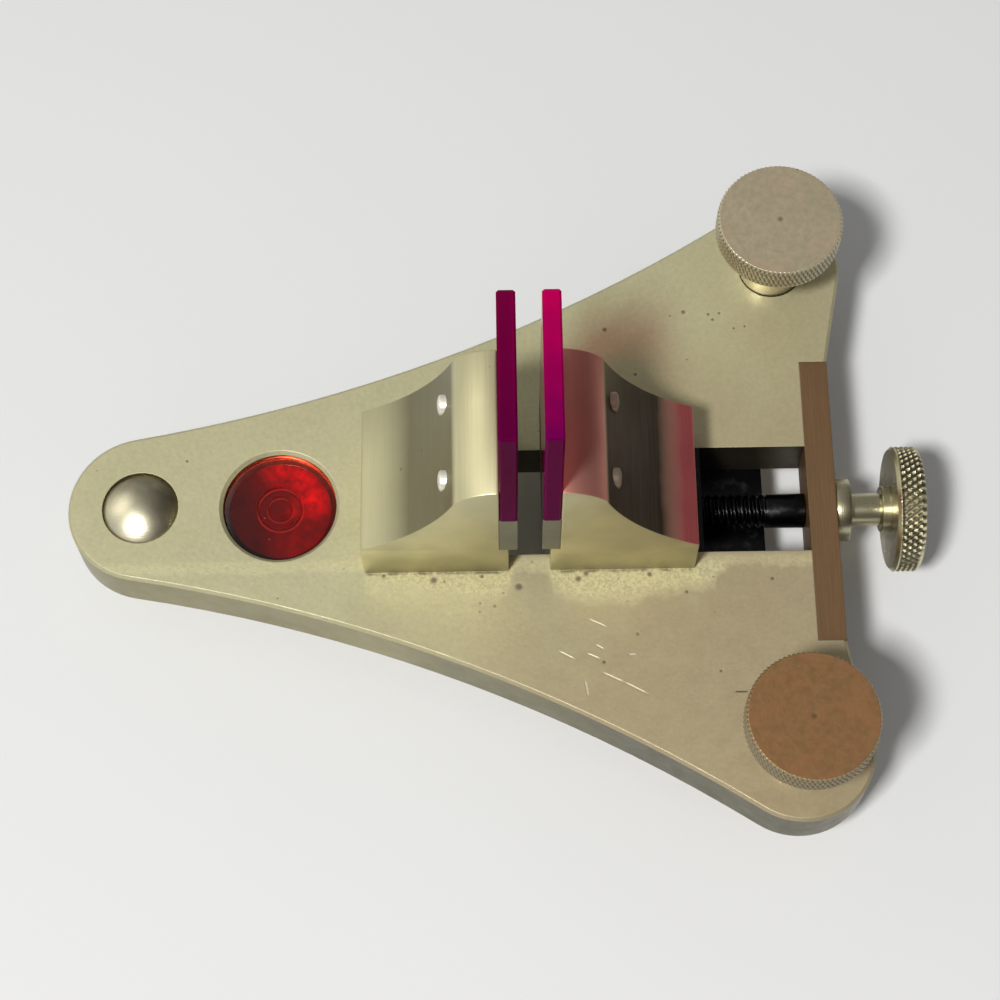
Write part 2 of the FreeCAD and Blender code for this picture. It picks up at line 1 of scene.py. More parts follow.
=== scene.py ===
"""Looks of the poising tool: turned, knurled and threaded pieces, finishes and the stage."""

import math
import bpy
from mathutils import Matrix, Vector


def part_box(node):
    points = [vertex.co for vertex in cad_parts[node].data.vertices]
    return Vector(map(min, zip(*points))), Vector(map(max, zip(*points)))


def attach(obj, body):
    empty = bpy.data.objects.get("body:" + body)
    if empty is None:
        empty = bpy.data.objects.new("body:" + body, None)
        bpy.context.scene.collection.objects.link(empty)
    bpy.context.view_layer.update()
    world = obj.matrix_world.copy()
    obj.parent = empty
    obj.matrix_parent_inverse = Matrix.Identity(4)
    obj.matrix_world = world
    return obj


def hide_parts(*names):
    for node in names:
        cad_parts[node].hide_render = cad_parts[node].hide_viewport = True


bl_info = {
    "name": "Poising tool",
    "version": (1, 0, 0),
    "blender": (4, 5, 0),
    "location": "3D View > Sidebar > Poising tool",
    "description": "Dresses the packed poising tool and sets its stage",
    "category": "Object",
}

import bmesh
import bpy
from mathutils import Matrix, Vector

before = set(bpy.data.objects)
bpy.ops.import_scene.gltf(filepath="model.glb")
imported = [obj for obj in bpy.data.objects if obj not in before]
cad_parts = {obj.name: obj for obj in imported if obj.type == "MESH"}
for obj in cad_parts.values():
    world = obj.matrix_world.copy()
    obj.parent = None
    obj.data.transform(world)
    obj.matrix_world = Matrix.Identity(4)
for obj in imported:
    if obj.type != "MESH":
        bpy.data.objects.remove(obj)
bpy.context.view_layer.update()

MM = 0.001
QUARTER = math.pi / 2
BACKDROP = (0.86, 0.86, 0.855)
# Bore of the knob and the collar, and the angle in degrees past which an edge of a jaw is sharp
BORE = 1.32 * MM
JAW_CREASE = 28


# Settings that a user would change
class ToolSizes(bpy.types.PropertyGroup):
    """Sizes of the details that the looks add to the solids."""
    edge_round: bpy.props.FloatProperty(
        name="Edge round", description="Rounding of turned and milled edges",
        default=0.1 * MM, unit="LENGTH", precision=5)
    thread_pitch: bpy.props.FloatProperty(
        name="Thread pitch", description="Travel of every screw in one turn",
        default=0.75 * MM, unit="LENGTH", precision=5)
    thread_depth: bpy.props.FloatProperty(
        name="Thread depth", description="Crest to root of the threads",
        default=0.3 * MM, unit="LENGTH", precision=5)
    knob_teeth: bpy.props.IntProperty(
        name="Knob diamonds", description="Diamonds round the adjusting knob", default=50)
    knob_diamond: bpy.props.FloatProperty(
        name="Diamond length", description="Length of one diamond along the knob",
        default=1.0 * MM, unit="LENGTH", precision=5)
    head_teeth: bpy.props.IntProperty(
        name="Head serrations", description="Fine serrations round each levelling head", default=84)
    knurl_depth: bpy.props.FloatProperty(
        name="Knurl depth", description="Peak to groove of the knurls",
        default=0.22 * MM, unit="LENGTH", precision=5)
    slot_width: bpy.props.FloatProperty(
        name="Screw slot", description="Width of the slots in the small screws",
        default=0.5 * MM, unit="LENGTH", precision=5)


class ToolColours(bpy.types.PropertyGroup):
    """Main colours of the finishes."""
    plate: bpy.props.FloatVectorProperty(
        name="Plate", description="Nickel silver of the base plate", size=3, subtype="COLOR",
        min=0, max=1, default=(0.60, 0.55, 0.35))
    jaws: bpy.props.FloatVectorProperty(
        name="Jaws", description="Nickel silver of the jaws", size=3, subtype="COLOR",
        min=0, max=1, default=(0.68, 0.63, 0.38))
    tarnish: bpy.props.FloatVectorProperty(
        name="Tarnish", description="Brown film on the end plate and the near head", size=3,
        subtype="COLOR", min=0, max=1, default=(0.26, 0.15, 0.07))
    ruby: bpy.props.FloatVectorProperty(
        name="Ruby", description="Crimson of the blades", size=3, subtype="COLOR",
        min=0, max=1, default=(0.47, 0.0, 0.075))
    level: bpy.props.FloatVectorProperty(
        name="Level", description="Red of the round level", size=3, subtype="COLOR",
        min=0, max=1, default=(0.72, 0.01, 0.008))
    black_steel: bpy.props.FloatVectorProperty(
        name="Blackened steel", description="Adjusting screw and guide", size=3, subtype="COLOR",
        min=0, max=1, default=(0.02, 0.02, 0.022))


class ToolStage(bpy.types.PropertyGroup):
    """Camera, lamp and floor."""
    lens: bpy.props.FloatProperty(
        name="Lens", description="Focal length in millimetres", default=84.0)
    key_power: bpy.props.FloatProperty(
        name="Key lamp", description="Strength of the lamp at the near left", default=4.6, unit="POWER")
    key_size: bpy.props.FloatProperty(
        name="Key size", description="Width of the lamp, which softens the shadows",
        default=0.098, unit="LENGTH")
    floor: bpy.props.FloatVectorProperty(
        name="Floor", description="Plain pale floor", size=3, subtype="COLOR",
        min=0, max=1, default=(0.78, 0.78, 0.77))


# Building node trees
def add(tree, kind, values=None, **settings):
    """Node with its settings; each value is a number or a socket to link."""
    made = tree.nodes.new(kind)
    for key, value in settings.items():
        setattr(made, key, value)
    for key, value in (values or {}).items():
        if isinstance(value, bpy.types.NodeSocket):
            tree.links.new(value, made.inputs[key])
        else:
            made.inputs[key].default_value = value
    return made


def calc(tree, operation, *values, clamp=False):
    """Result of a Math node."""
    return add(tree, "ShaderNodeMath", dict(enumerate(values)), operation=operation,
               use_clamp=clamp).outputs[0]


def times(tree, *values):
    """Product of numbers and sockets."""
    result = values[0]
    for value in values[1:]:
        result = calc(tree, "MULTIPLY", result, value)
    return result


def spread(tree, value, low, high, to_low=0.0, to_high=1.0):
    """Value between low and high, spread over another range and held at its ends."""
    return add(tree, "ShaderNodeMapRange",
               {"Value": value, "From Min": low, "From Max": high, "To Min": to_low, "To Max": to_high},
               clamp=True).outputs[0]


def blend(tree, share, first, second):
    """Mix of two colours."""
    made = add(tree, "ShaderNodeMix", {0: share}, data_type="RGBA")
    for socket, colour in ((made.inputs[6], first), (made.inputs[7], second)):
        if isinstance(colour, bpy.types.NodeSocket):
            tree.links.new(colour, socket)
        else:
            socket.default_value = (*colour, 1.0)
    return made.outputs[2]


class Finish:
    """Material being made: its tree, its shader and the point that it colours."""

    def __init__(self, name, metallic=1.0, **sockets):
        self.material = bpy.data.materials.new(name)
        self.material.use_nodes = True
        self.tree = self.material.node_tree
        self.shader = self.tree.nodes["Principled BSDF"]
        self.shader.inputs["Metallic"].default_value = metallic
        for socket, value in sockets.items():
            self.shader.inputs[socket.replace("_", " ")].default_value = value
        self.point = add(self.tree, "ShaderNodeTexCoord").outputs["Object"]
        parts = add(self.tree, "ShaderNodeSeparateXYZ", {0: self.point})
        self.x, self.y, self.z = parts.outputs

    def link(self, socket, value):
        self.tree.links.new(value, self.shader.inputs[socket])

    def noise(self, scale, detail=2.0, point=None, rough=0.5):
        return add(self.tree, "ShaderNodeTexNoise",
                   {"Vector": point or self.point, "Scale": scale, "Detail": detail,
                    "Roughness": rough}).outputs[0]

    def specks(self, cell, size, share):
        """Sparse round spots: one cell in a few holds a spot."""
        cells = add(self.tree, "ShaderNodeTexVoronoi", {"Vector": self.point, "Scale": 1 / cell})
        chance = add(self.tree, "ShaderNodeSeparateColor", {0: cells.outputs["Color"]})
        radius = spread(self.tree, chance.outputs[0], 1 - share, 1.0, 0.0, size / cell)
        return spread(self.tree, calc(self.tree, "SUBTRACT", radius, cells.outputs["Distance"]), 0.0, 0.02)

    def spot(self, x, y, radius, soft=0.5):
        """Round spot in the XY plane, placed in metres; soft is the share of its radius that fades."""
        offset = add(self.tree, "ShaderNodeVectorMath", {0: self.point, 1: (x, y, 0.0)},
                     operation="SUBTRACT").outputs[0]
        flat = add(self.tree, "ShaderNodeVectorMath", {0: offset, 1: (1.0, 1.0, 0.0)},
                   operation="MULTIPLY").outputs[0]
        away = add(self.tree, "ShaderNodeVectorMath", {0: flat}, operation="LENGTH").outputs["Value"]
        return spread(self.tree, away, radius, radius * (1 - soft))

    def stroke(self, x, y, length, turn, width):
        """Straight scratch in the XY plane, tapered at its ends."""
        local = add(self.tree, "ShaderNodeMapping",
                    {"Vector": self.point, "Location": (x, y, 0), "Rotation": (0, 0, turn)},
                    vector_type="TEXTURE").outputs[0]
        along, across, _ = add(self.tree, "ShaderNodeSeparateXYZ", {0: local}).outputs
        reach = spread(self.tree, calc(self.tree, "ABSOLUTE", along), length * 0.5, length * 0.28)
        thin = spread(self.tree, calc(self.tree, "ABSOLUTE", across), width, width * 0.3)
        return times(self.tree, reach, thin)

    def drawn(self, value, points):
        """Value led along a curve through points between 0 and 1."""
        curve = add(self.tree, "ShaderNodeFloatCurve", {"Value": value})
        line = curve.mapping.curves[0]
        line.points[0].location, line.points[1].location = points[0], points[-1]
        for x, y in points[1:-1]:
            line.points.new(x, y)
        curve.mapping.update()
        return curve.outputs[0]

    def most(self, masks):
        """Largest of several masks."""
        result = masks[0]
        for mask in masks[1:]:
            result = calc(self.tree, "MAXIMUM", result, mask)
        return result

    def streaks(self, across, along, turn=0.0, detail=2.0):
        """Fine parallel lines: noise that is drawn out along Y, then turned."""
        point = add(self.tree, "ShaderNodeMapping",
                    {"Vector": self.point, "Rotation": (0, 0, turn),
                     "Scale": (1 / across, 1 / along, 1 / across)}).outputs[0]
        return self.noise(1.0, detail, point)

    def bump(self, height, depth, strength=1.0, normal=None):
        values = {"Strength": strength, "Distance": depth, "Height": height}
        if normal is not None:
            values["Normal"] = normal
        return add(self.tree, "ShaderNodeBump", values).outputs[0]

    def brush_along_y(self):
        """Lines along Y, which draw the sheen out across them."""
        self.link("Tangent", add(self.tree, "ShaderNodeCombineXYZ", {0: 1.0, 1: 0.0, 2: 0.05}).outputs[0])

    def facing(self, axis):
        """How much the surface looks along an axis (0 to 2), whichever way."""
        normal = add(self.tree, "ShaderNodeNewGeometry").outputs["Normal"]
        return calc(self.tree, "ABSOLUTE", add(self.tree, "ShaderNodeSeparateXYZ", {0: normal}).outputs[axis])

    def paint_shade_far_side(self, centre, start):
        """Painted reflection and shade: a dull, darker colour on the far and right side of a small part."""
        x = times(self.tree, calc(self.tree, "SUBTRACT", self.x, centre.x), 0.45)
        y = calc(self.tree, "SUBTRACT", self.y, centre.y)
        share = spread(self.tree, calc(self.tree, "ADD", x, y), -start, start * 1.4, 0.0, 0.75)
        share = times(self.tree, share, spread(self.tree, self.noise(500, 3), 0.25, 0.5, 0.6, 1.0))
        tone = self.shader.inputs["Base Color"].links[0].from_socket
        self.link("Base Color", blend(self.tree, share, tone, (0.24, 0.205, 0.13)))

    def soft_edges(self, radius):
        """Normal with rounded edges, and how near an edge the point is (0 to 1)."""
        rounded = add(self.tree, "ShaderNodeBevel", {"Radius": radius}, samples=4).outputs[0]
        true = add(self.tree, "ShaderNodeNewGeometry").outputs["Normal"]
        match = add(self.tree, "ShaderNodeVectorMath", {0: rounded, 1: true},
                    operation="DOT_PRODUCT").outputs["Value"]
        return rounded, spread(self.tree, match, 0.995, 0.85)


# Meshes
def turned_mesh(name, profile, segments):
    """Mesh turned about Z from (height, radius) pairs; it closes at radius 0 or back at its start."""
    closed = profile[0] == profile[-1]
    made = bmesh.new()
    rings = []
    for height, radius in profile[:-1] if closed else profile:
        if radius < 1e-9:
            rings.append([made.verts.new((0, 0, height))])
            continue
        rings.append([made.verts.new((radius * math.cos(2 * math.pi * i / segments),
                                      radius * math.sin(2 * math.pi * i / segments), height))
                      for i in range(segments)])
    if closed:
        rings.append(rings[0])
    for lower, upper in zip(rings, rings[1:]):
        for i in range(segments):
            j = (i + 1) % segments
            corners = [lower[i % len(lower)], lower[j % len(lower)],
                       upper[j % len(upper)], upper[i % len(upper)]]
            made.faces.new(list(dict.fromkeys(corners)))
    bmesh.ops.recalc_face_normals(made, faces=made.faces)
    mesh = bpy.data.meshes.new(name)
    made.to_mesh(mesh)
    made.free()
    return mesh


def eased(profile, size):
    """Profile with its inner corners rounded by three points each."""
    out = [profile[0]]
    for before, corner, after in zip(profile, profile[1:], profile[2:]):
        b, c, a = Vector(before), Vector(corner), Vector(after)
        reach = min(size, (b - c).length * 0.45, (a - c).length * 0.45)
        if abs((b - c).normalized().dot((a - c).normalized())) > 0.99:
            out.append(corner)
            continue
        start = c + (b - c).normalized() * reach
        end = c + (a - c).normalized() * reach
        out += [tuple(start), tuple(start / 4 + c / 2 + end / 4), tuple(end)]
    out.append(profile[-1])
    return out


def steps(low, high, count):
    """Evenly spaced numbers from low to high, both included."""
    return [low + (high - low) * i / count for i in range(count + 1)]


def arc(centre, radius, first, last, count):
    """Points of an arc in a plane, by angles in radians."""
    return [(centre[0] + radius * math.cos(angle), centre[1] + radius * math.sin(angle))
            for angle in steps(first, last, count)]


def grown(name, mesh, tree, **values):
    """Plain mesh that a geometry tree makes from a mesh."""
    piece = bpy.data.objects.new(name, mesh)
    bpy.context.scene.collection.objects.link(piece)
    modifier = piece.modifiers.new(tree.name, "NODES")
    modifier.node_group = tree
    for item in tree.interface.items_tree:
        if item.item_type == "SOCKET" and item.in_out == "INPUT" and item.name in values:
            modifier[item.identifier] = values.pop(item.name)
    if values:
        raise RuntimeError("%s has no input named %s" % (tree.name, list(values)))
    bpy.context.view_layer.update()
    graph = bpy.context.evaluated_depsgraph_get()
    result = bpy.data.meshes.new_from_object(
        piece.evaluated_get(graph), preserve_all_data_layers=True, depsgraph=graph)
    piece.modifiers.remove(modifier)
    bpy.data.objects.remove(piece)
    result.name = name
    return result


def place(name, mesh, body, slot, *nodes, finish=None, crease=35):
    """Put a finished mesh on a body, with its finish when one is given, in place of its solids; slot is not
    used.
    """
    mesh.shade_smooth()
    mesh.set_sharp_from_angle(angle=math.radians(crease))
    if finish is not None:
        mesh.materials.clear()
        mesh.materials.append(finish.material)
    if not mesh.polygons:
        raise RuntimeError("%s is empty" % name)
    piece = bpy.data.objects.new(name, mesh)
    bpy.context.scene.collection.objects.link(piece)
    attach(piece, body)
    if nodes:
        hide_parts(*nodes)
    return piece


def paint(finish, *nodes):
    """Give a finish to solids that stay."""
    for node in nodes:
        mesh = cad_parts[node].data
        mesh.materials.clear()
        mesh.materials.append(finish.material)


def new_tree(name, inputs):
    """Empty geometry tree with named inputs, and its two end nodes."""
    tree = bpy.data.node_groups.new(name, "GeometryNodeTree")
    tree.is_modifier = True
    tree.interface.new_socket("Geometry", in_out="INPUT", socket_type="NodeSocketGeometry")
    for label, kind in inputs:
        tree.interface.new_socket(label, in_out="INPUT", socket_type="NodeSocket" + kind)
    tree.interface.new_socket("Geometry", in_out="OUTPUT", socket_type="NodeSocketGeometry")
    return tree, add(tree, "NodeGroupInput").outputs, add(tree, "NodeGroupOutput")


def groove_tree():
    """Cuts grooves round a turned mesh: diamond or slanted knurls, or a thread with one start."""
    tree, given, end = new_tree("turned grooves", [
        ("Teeth", "Int"), ("Grooves per metre", "Float"), ("Diamond", "Bool"), ("Depth", "Float"),
        ("Rim radius", "Float"), ("From", "Float"), ("To", "Float"), ("Fade", "Float"),
        ("Place", "Vector"), ("Turn", "Vector"), ("Finish", "Material")])
    point = add(tree, "GeometryNodeInputPosition").outputs[0]
    x, y, z = add(tree, "ShaderNodeSeparateXYZ", {0: point}).outputs
    radius = calc(tree, "SQRT", calc(tree, "ADD", times(tree, x, x), times(tree, y, y)))
    round_it = times(tree, calc(tree, "DIVIDE", calc(tree, "ARCTAN2", y, x), 2 * math.pi),
                    given["Teeth"])
    along = times(tree, calc(tree, "SUBTRACT", z, given["From"]), given["Grooves per metre"])
    rising, falling = (
        times(tree, calc(tree, "PINGPONG", calc(tree, way, round_it, along), 0.5), 2.0)
        for way in ("ADD", "SUBTRACT"))
    land = add(tree, "GeometryNodeSwitch",
               {"Switch": given["Diamond"], "False": rising, "True": calc(tree, "MINIMUM", rising, falling)},
               input_type="FLOAT").outputs[0]
    on_rim = calc(tree, "GREATER_THAN", radius, calc(tree, "SUBTRACT", given["Rim radius"], 1e-6))
    after = calc(tree, "DIVIDE", calc(tree, "SUBTRACT", z, given["From"]), given["Fade"], clamp=True)
    before = calc(tree, "DIVIDE", calc(tree, "SUBTRACT", given["To"], z), given["Fade"], clamp=True)
    cut = times(tree, calc(tree, "SUBTRACT", 1.0, land),
               times(tree, on_rim, calc(tree, "MINIMUM", after, before)))
    marked = add(tree, "GeometryNodeStoreNamedAttribute",
                 {"Geometry": given["Geometry"], "Name": "groove", "Value": cut},
                 data_type="FLOAT", domain="POINT")
    inward = calc(tree, "DIVIDE", times(tree, cut, times(tree, given["Depth"], -1.0)),
                  calc(tree, "MAXIMUM", radius, 1e-6))
    shift = add(tree, "ShaderNodeCombineXYZ",
                {0: times(tree, x, inward), 1: times(tree, y, inward), 2: 0.0})
    moved = add(tree, "GeometryNodeSetPosition", {"Geometry": marked.outputs[0], "Offset": shift.outputs[0]})
    finish_tree(tree, given, end, moved.outputs[0])
    return tree


def screw_tree():
    """Slots a small screw and sets several of them in a row, each turned another way."""
    tree, given, end = new_tree("slotted screws", [
        ("Slot width", "Float"), ("Slot depth", "Float"), ("Head radius", "Float"),
        ("Count", "Int"), ("Spacing", "Vector"), ("Slot turn", "Float"),
        ("Place", "Vector"), ("Turn", "Vector"), ("Finish", "Material")])
    size = add(tree, "ShaderNodeCombineXYZ",
               {0: times(tree, given["Head radius"], 2.4), 1: given["Slot width"],
                2: times(tree, given["Slot depth"], 2.0)})
    cutter = add(tree, "GeometryNodeMeshCube", {"Size": size.outputs[0]})
    slotted = add(tree, "GeometryNodeMeshBoolean", operation="DIFFERENCE", solver="EXACT")
    tree.links.new(given["Geometry"], slotted.inputs[0])
    tree.links.new(cutter.outputs[0], slotted.inputs[1])
    row = add(tree, "GeometryNodeMeshLine", {"Count": given["Count"], "Offset": given["Spacing"]},
              mode="OFFSET")
    spots = add(tree, "GeometryNodeMeshToPoints", {"Mesh": row.outputs[0]})
    index = add(tree, "GeometryNodeInputIndex").outputs[0]
    turn = add(tree, "ShaderNodeCombineXYZ",
               {2: times(tree, calc(tree, "ADD", index, 0.6), given["Slot turn"])})
    screws = add(tree, "GeometryNodeInstanceOnPoints",
                 {"Points": spots.outputs[0], "Instance": slotted.outputs[0], "Rotation": turn.outputs[0]})
    finish_tree(tree, given, end, screws.outputs[0])
    return tree


def finish_tree(tree, given, end, geometry):
    """Last nodes of a tree: place, realize and set the material."""
    real = add(tree, "GeometryNodeRealizeInstances", {"Geometry": geometry})
    placed = add(tree, "GeometryNodeTransform",
                 {"Geometry": real.outputs[0], "Translation": given["Place"], "Rotation": given["Turn"]})
    done = add(tree, "GeometryNodeSetMaterial",
               {"Geometry": placed.outputs[0], "Material": given["Finish"]})
    tree.links.new(done.outputs[0], end.inputs[0])


# Finishes
# Marks on the plate, in millimetres: scratches (x, y, length, turn), dark specks (x, y, radius), and
# the near edge of the dried residue along the jaws (x, width)
SCRATCHES = ((9.63, -12.63, 2.2, -0.45), (6.6, -15.82, 2.0, -0.50), (9.75, -15.04, 1.0, -0.56),
             (9.12, -15.95, 1.5, -0.43), (10.93, -18.09, 2.6, -0.46), (13.04, -19.18, 2.8, -0.50),
             (8.4, -19.17, 1.7, -1.42), (12.82, -15.86, 0.8, 0.0))
SPECKS = ((10.15, -16.54, 0.26), (-10.8, -7.46, 0.3), (-5.98, -8.0, 0.5), (-1.34, -7.68, 0.28),
          (2.2, -8.8, 0.5), (8.7, -7.55, 0.36), (7.94, -8.06, 0.42), (14.8, -7.7, 0.34),
          (18.3, -9.57, 0.24), (26.6, -8.34, 0.26), (11.3, 18.65, 0.3), (19.3, 20.5, 0.3),
          (-30.2, 4.9, 0.2), (14.2, 13.6, 0.2), (21.2, -17.6, 0.2), (16.2, 9.4, 0.2),
          (21.8, 20.2, 0.22), (22.9, 20.3, 0.2), (22.2, 19.6, 0.22), (24.3, 18.6, 0.18), (25.4, 18.8, 0.18))
RESIDUE = ((-14.0, 0.0), (-13.0, 0.2), (-12.3, 1.3), (-10.6, 2.0), (-7.5, 2.4), (-4.1, 3.0), (-1.4, 3.4),
           (0.4, 2.9), (1.4, 1.9), (2.2, 0.5), (4.6, 0.5), (5.6, 2.6), (7.9, 3.6), (10.4, 3.9),
           (13.1, 3.7), (14.8, 3.0), (17.0, 2.8), (19.3, 2.6), (20.8, 2.1), (21.6, 0.9), (23.0, 0.0))


def plate_finish(colours):
    """Satin nickel silver: clouded, specked, scratched, with pale residue by the jaws."""
    made = Finish("plate_metal", Roughness=0.45)
    tree = made.tree
    base = Vector(colours.plate)
    up = made.facing(2)
    _, plate_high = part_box("base_plate")
    near_top = spread(tree, made.z, plate_high.z - 0.5 * MM, plate_high.z - 0.1 * MM)
    top = times(tree, spread(tree, up, 0.8, 0.95), near_top)
    # Greenish beige at the nose, brown and darker towards the near lobe
    cloud = spread(tree, made.noise(75, 4), 0.35, 0.68)
    colour = blend(tree, cloud, base * 1.05, Vector((base.x * 0.97, base.y, base.z * 0.93)) * 0.92)
    right = calc(tree, "SUBTRACT", times(tree, made.x, 0.6), times(tree, made.y, 0.72))
    waver = times(tree, calc(tree, "SUBTRACT", made.noise(120, 3), 0.5), 12 * MM)
    right = calc(tree, "ADD", right, waver)
    colour = blend(tree, spread(tree, right, -2 * MM, 20 * MM), colour,
                   (base.x * 0.67, base.y * 0.465, base.z * 0.46))
    # Painted shadow: a brown patch beyond the sliding jaw, where the jaws and the blades cast their shadow
    painted_light = made.spot(17 * MM, 9.5 * MM, 10 * MM, 0.7)
    colour = blend(tree, times(tree, painted_light, top, 0.55), colour, (0.34, 0.19, 0.115))
    mottle = spread(tree, made.noise(520, 5, rough=0.62), 0.32, 0.68)
    colour = blend(tree, times(tree, mottle, 0.20), colour, base * 0.5)
    # Two thin, even veils: a pale one and a greenish one
    colour = blend(tree, 0.0337, colour, (base.x * 1.25, base.y * 1.25, base.z * 1.5))
    colour = blend(tree, 0.42, colour, (base.x * 0.95, base.y * 0.99, base.z * 0.86))
    grain = spread(tree, made.noise(2100, 4, rough=0.65), 0.35, 0.66)
    colour = blend(tree, times(tree, grain, 0.20), colour, base * 0.45)
    # Painted shade: a darker band round the side that turns near black towards the right, and darker walls in
    # the slot
    side = spread(tree, up, 0.75, 0.4)
    shaded_band = spread(tree, made.noise(110, 3), 0.3, 0.72)
    shaded_band = blend(tree, shaded_band, (base.x * 0.44, base.y * 0.44, base.z * 0.38),
                 (base.x * 0.60, base.y * 0.585, base.z * 0.48))
    shaded_band = blend(tree, spread(tree, made.x, -12 * MM, 14 * MM, 0.0, 0.85), shaded_band, base * 0.16)
    colour = blend(tree, side, colour, shaded_band)
    slot = times(tree, spread(tree, calc(tree, "ABSOLUTE", made.y), 6.8 * MM, 6.4 * MM),
                spread(tree, made.x, -1.0 * MM, 0.0))
    colour = blend(tree, times(tree, slot, side), colour, (0.085, 0.07, 0.045))
    # Specks and scratches
    fine = made.most([made.specks(3.4 * MM, 0.26 * MM, 0.3), made.specks(1.5 * MM, 0.16 * MM, 0.22)])
    large = made.most([made.spot(x * MM, y * MM, r * MM, 0.6) for x, y, r in SPECKS])
    spots = times(tree, calc(tree, "MAXIMUM", times(tree, fine, 0.7), large), top)
    colour = blend(tree, times(tree, spots, 0.8), colour, (0.085, 0.05, 0.028))
    strokes = made.most([made.stroke(x * MM, y * MM, length * MM, turn, 0.13 * MM)
                         for x, y, length, turn in SCRATCHES])
    hairs = spread(tree, made.streaks(0.05 * MM, 4 * MM, 1.1), 0.68, 0.78)
    hairs = times(tree, hairs, spread(tree, made.noise(190, 2), 0.52, 0.64))
    scratch = times(tree, calc(tree, "MAXIMUM", strokes, times(tree, hairs, 0.35)), top)
    colour = blend(tree, times(tree, scratch, 0.55), colour, (0.70, 0.64, 0.50))
    hair = made.stroke(23.0 * MM, -19.7 * MM, 1.5 * MM, 0.0, 0.12 * MM)
    colour = blend(tree, times(tree, hair, 0.8), colour, (0.06, 0.03, 0.015))
    # Dried residue along the foot of both jaws
    start, stop, widest = RESIDUE[0][0], RESIDUE[-1][0], 5
    width = made.drawn(spread(tree, made.x, start * MM, stop * MM),
                       [((x - start) / (stop - start), across / widest) for x, across in RESIDUE])
    depth = calc(tree, "DIVIDE", calc(tree, "SUBTRACT", -6.6 * MM, made.y), widest * MM)
    ragged = times(tree, calc(tree, "SUBTRACT", made.noise(900, 5, rough=0.65), 0.5), 0.5)
    inside = calc(tree, "ADD", calc(tree, "SUBTRACT", width, depth), ragged)
    residue = times(tree, spread(tree, inside, -0.10, 0.20), spread(tree, depth, -0.2, 0.0))
    grit = spread(tree, made.noise(3200, 4, rough=0.7), 0.42, 0.62)
    residue = times(tree, residue, top, calc(tree, "SUBTRACT", 1.0, times(tree, large, 0.9)))
    crust = blend(tree, grit, (0.62, 0.56, 0.30), (0.44, 0.385, 0.20))
    crust = blend(tree, made.specks(0.7 * MM, 0.17 * MM, 0.4), crust, (0.22, 0.17, 0.08))
    colour = blend(tree, times(tree, residue, 0.85), colour, crust)
    # Dark line where each jaw stands on the plate
    foot = spread(tree, calc(tree, "ABSOLUTE", calc(tree, "ADD", made.y, 7.3 * MM)), 0.22 * MM, 0.06 * MM)
    foot = times(tree, foot, top, spread(tree, made.noise(800, 3), 0.42, 0.6))
    off = calc(tree, "SUBTRACT", calc(tree, "ABSOLUTE", calc(tree, "SUBTRACT", made.x, 3.2 * MM)), 9.1 * MM)
    foot = times(tree, foot, spread(tree, calc(tree, "ABSOLUTE", off), 6.8 * MM, 6.4 * MM))
    colour = blend(tree, times(tree, foot, 0.7), colour, (0.12, 0.08, 0.035))
    rounded, edge = made.soft_edges(0.13 * MM)
    colour = blend(tree, times(tree, edge, 0.4), colour, (0.70, 0.66, 0.50))
    made.link("Base Color", colour)
    dull = calc(tree, "MAXIMUM", residue, spots)
    rough = calc(tree, "ADD", 0.40, times(tree, mottle, 0.12))
    rough = calc(tree, "SUBTRACT", rough, times(tree, side, 0.10))
    rough = calc(tree, "ADD", rough, times(tree, edge, 0.12))
    rough = calc(tree, "ADD", rough, times(tree, dull, 0.4))
    made.link("Roughness", rough)
    bare = calc(tree, "ADD", 0.42, times(tree, side, 0.4))
    made.link("Metallic", calc(tree, "SUBTRACT", bare, times(tree, dull, 0.5)))
    crusted = times(tree, residue, calc(tree, "ADD", 0.5, times(tree, grit, 0.6)))
    height = calc(tree, "ADD", times(tree, made.noise(5200, 2), 0.25), times(tree, mottle, 0.25))
    height = calc(tree, "ADD", height, crusted)
    height = calc(tree, "SUBTRACT", height, times(tree, calc(tree, "MAXIMUM", spots, scratch), 0.7))
    made.link("Normal", made.bump(height, 0.05 * MM, 0.7, rounded))
    return made


def metal_finish(name, colour, roughness, streak=0.0, cloud=0.15, metallic=1.0):
    """Satin or polished metal with clouds, fine grain, spots and, where asked, streaks."""
    made = Finish(name, metallic, Roughness=roughness)
    tree = made.tree
    base = Vector(colour)
    clouds = spread(tree, made.noise(160, 4), 0.35, 0.68)
    tone = blend(tree, times(tree, clouds, cloud * 2), base * 1.03, base * 0.72)
    lines = made.streaks(0.09 * MM, 5 * MM, 0.0, 3.0)
    tone = blend(tree, times(tree, spread(tree, lines, 0.35, 0.65), streak), tone, base * 0.62)
    spots = made.specks(2.2 * MM, 0.22 * MM, 0.22)
    tone = blend(tree, times(tree, spots, cloud * 3), tone, (0.09, 0.06, 0.04))
    rounded, near_edge = made.soft_edges(0.12 * MM)
    tone = blend(tree, times(tree, near_edge, 0.45), tone, base * 1.25)
    made.link("Base Color", tone)
    uneven = times(tree, clouds, 0.10)
    made.link("Roughness", calc(tree, "ADD", roughness - 0.03, uneven))
    height = calc(tree, "ADD", times(tree, made.noise(5200, 2), 0.3),
                  times(tree, lines, streak * 2))
    made.link("Normal", made.bump(height, 0.03 * MM, 0.6, rounded))
    return made


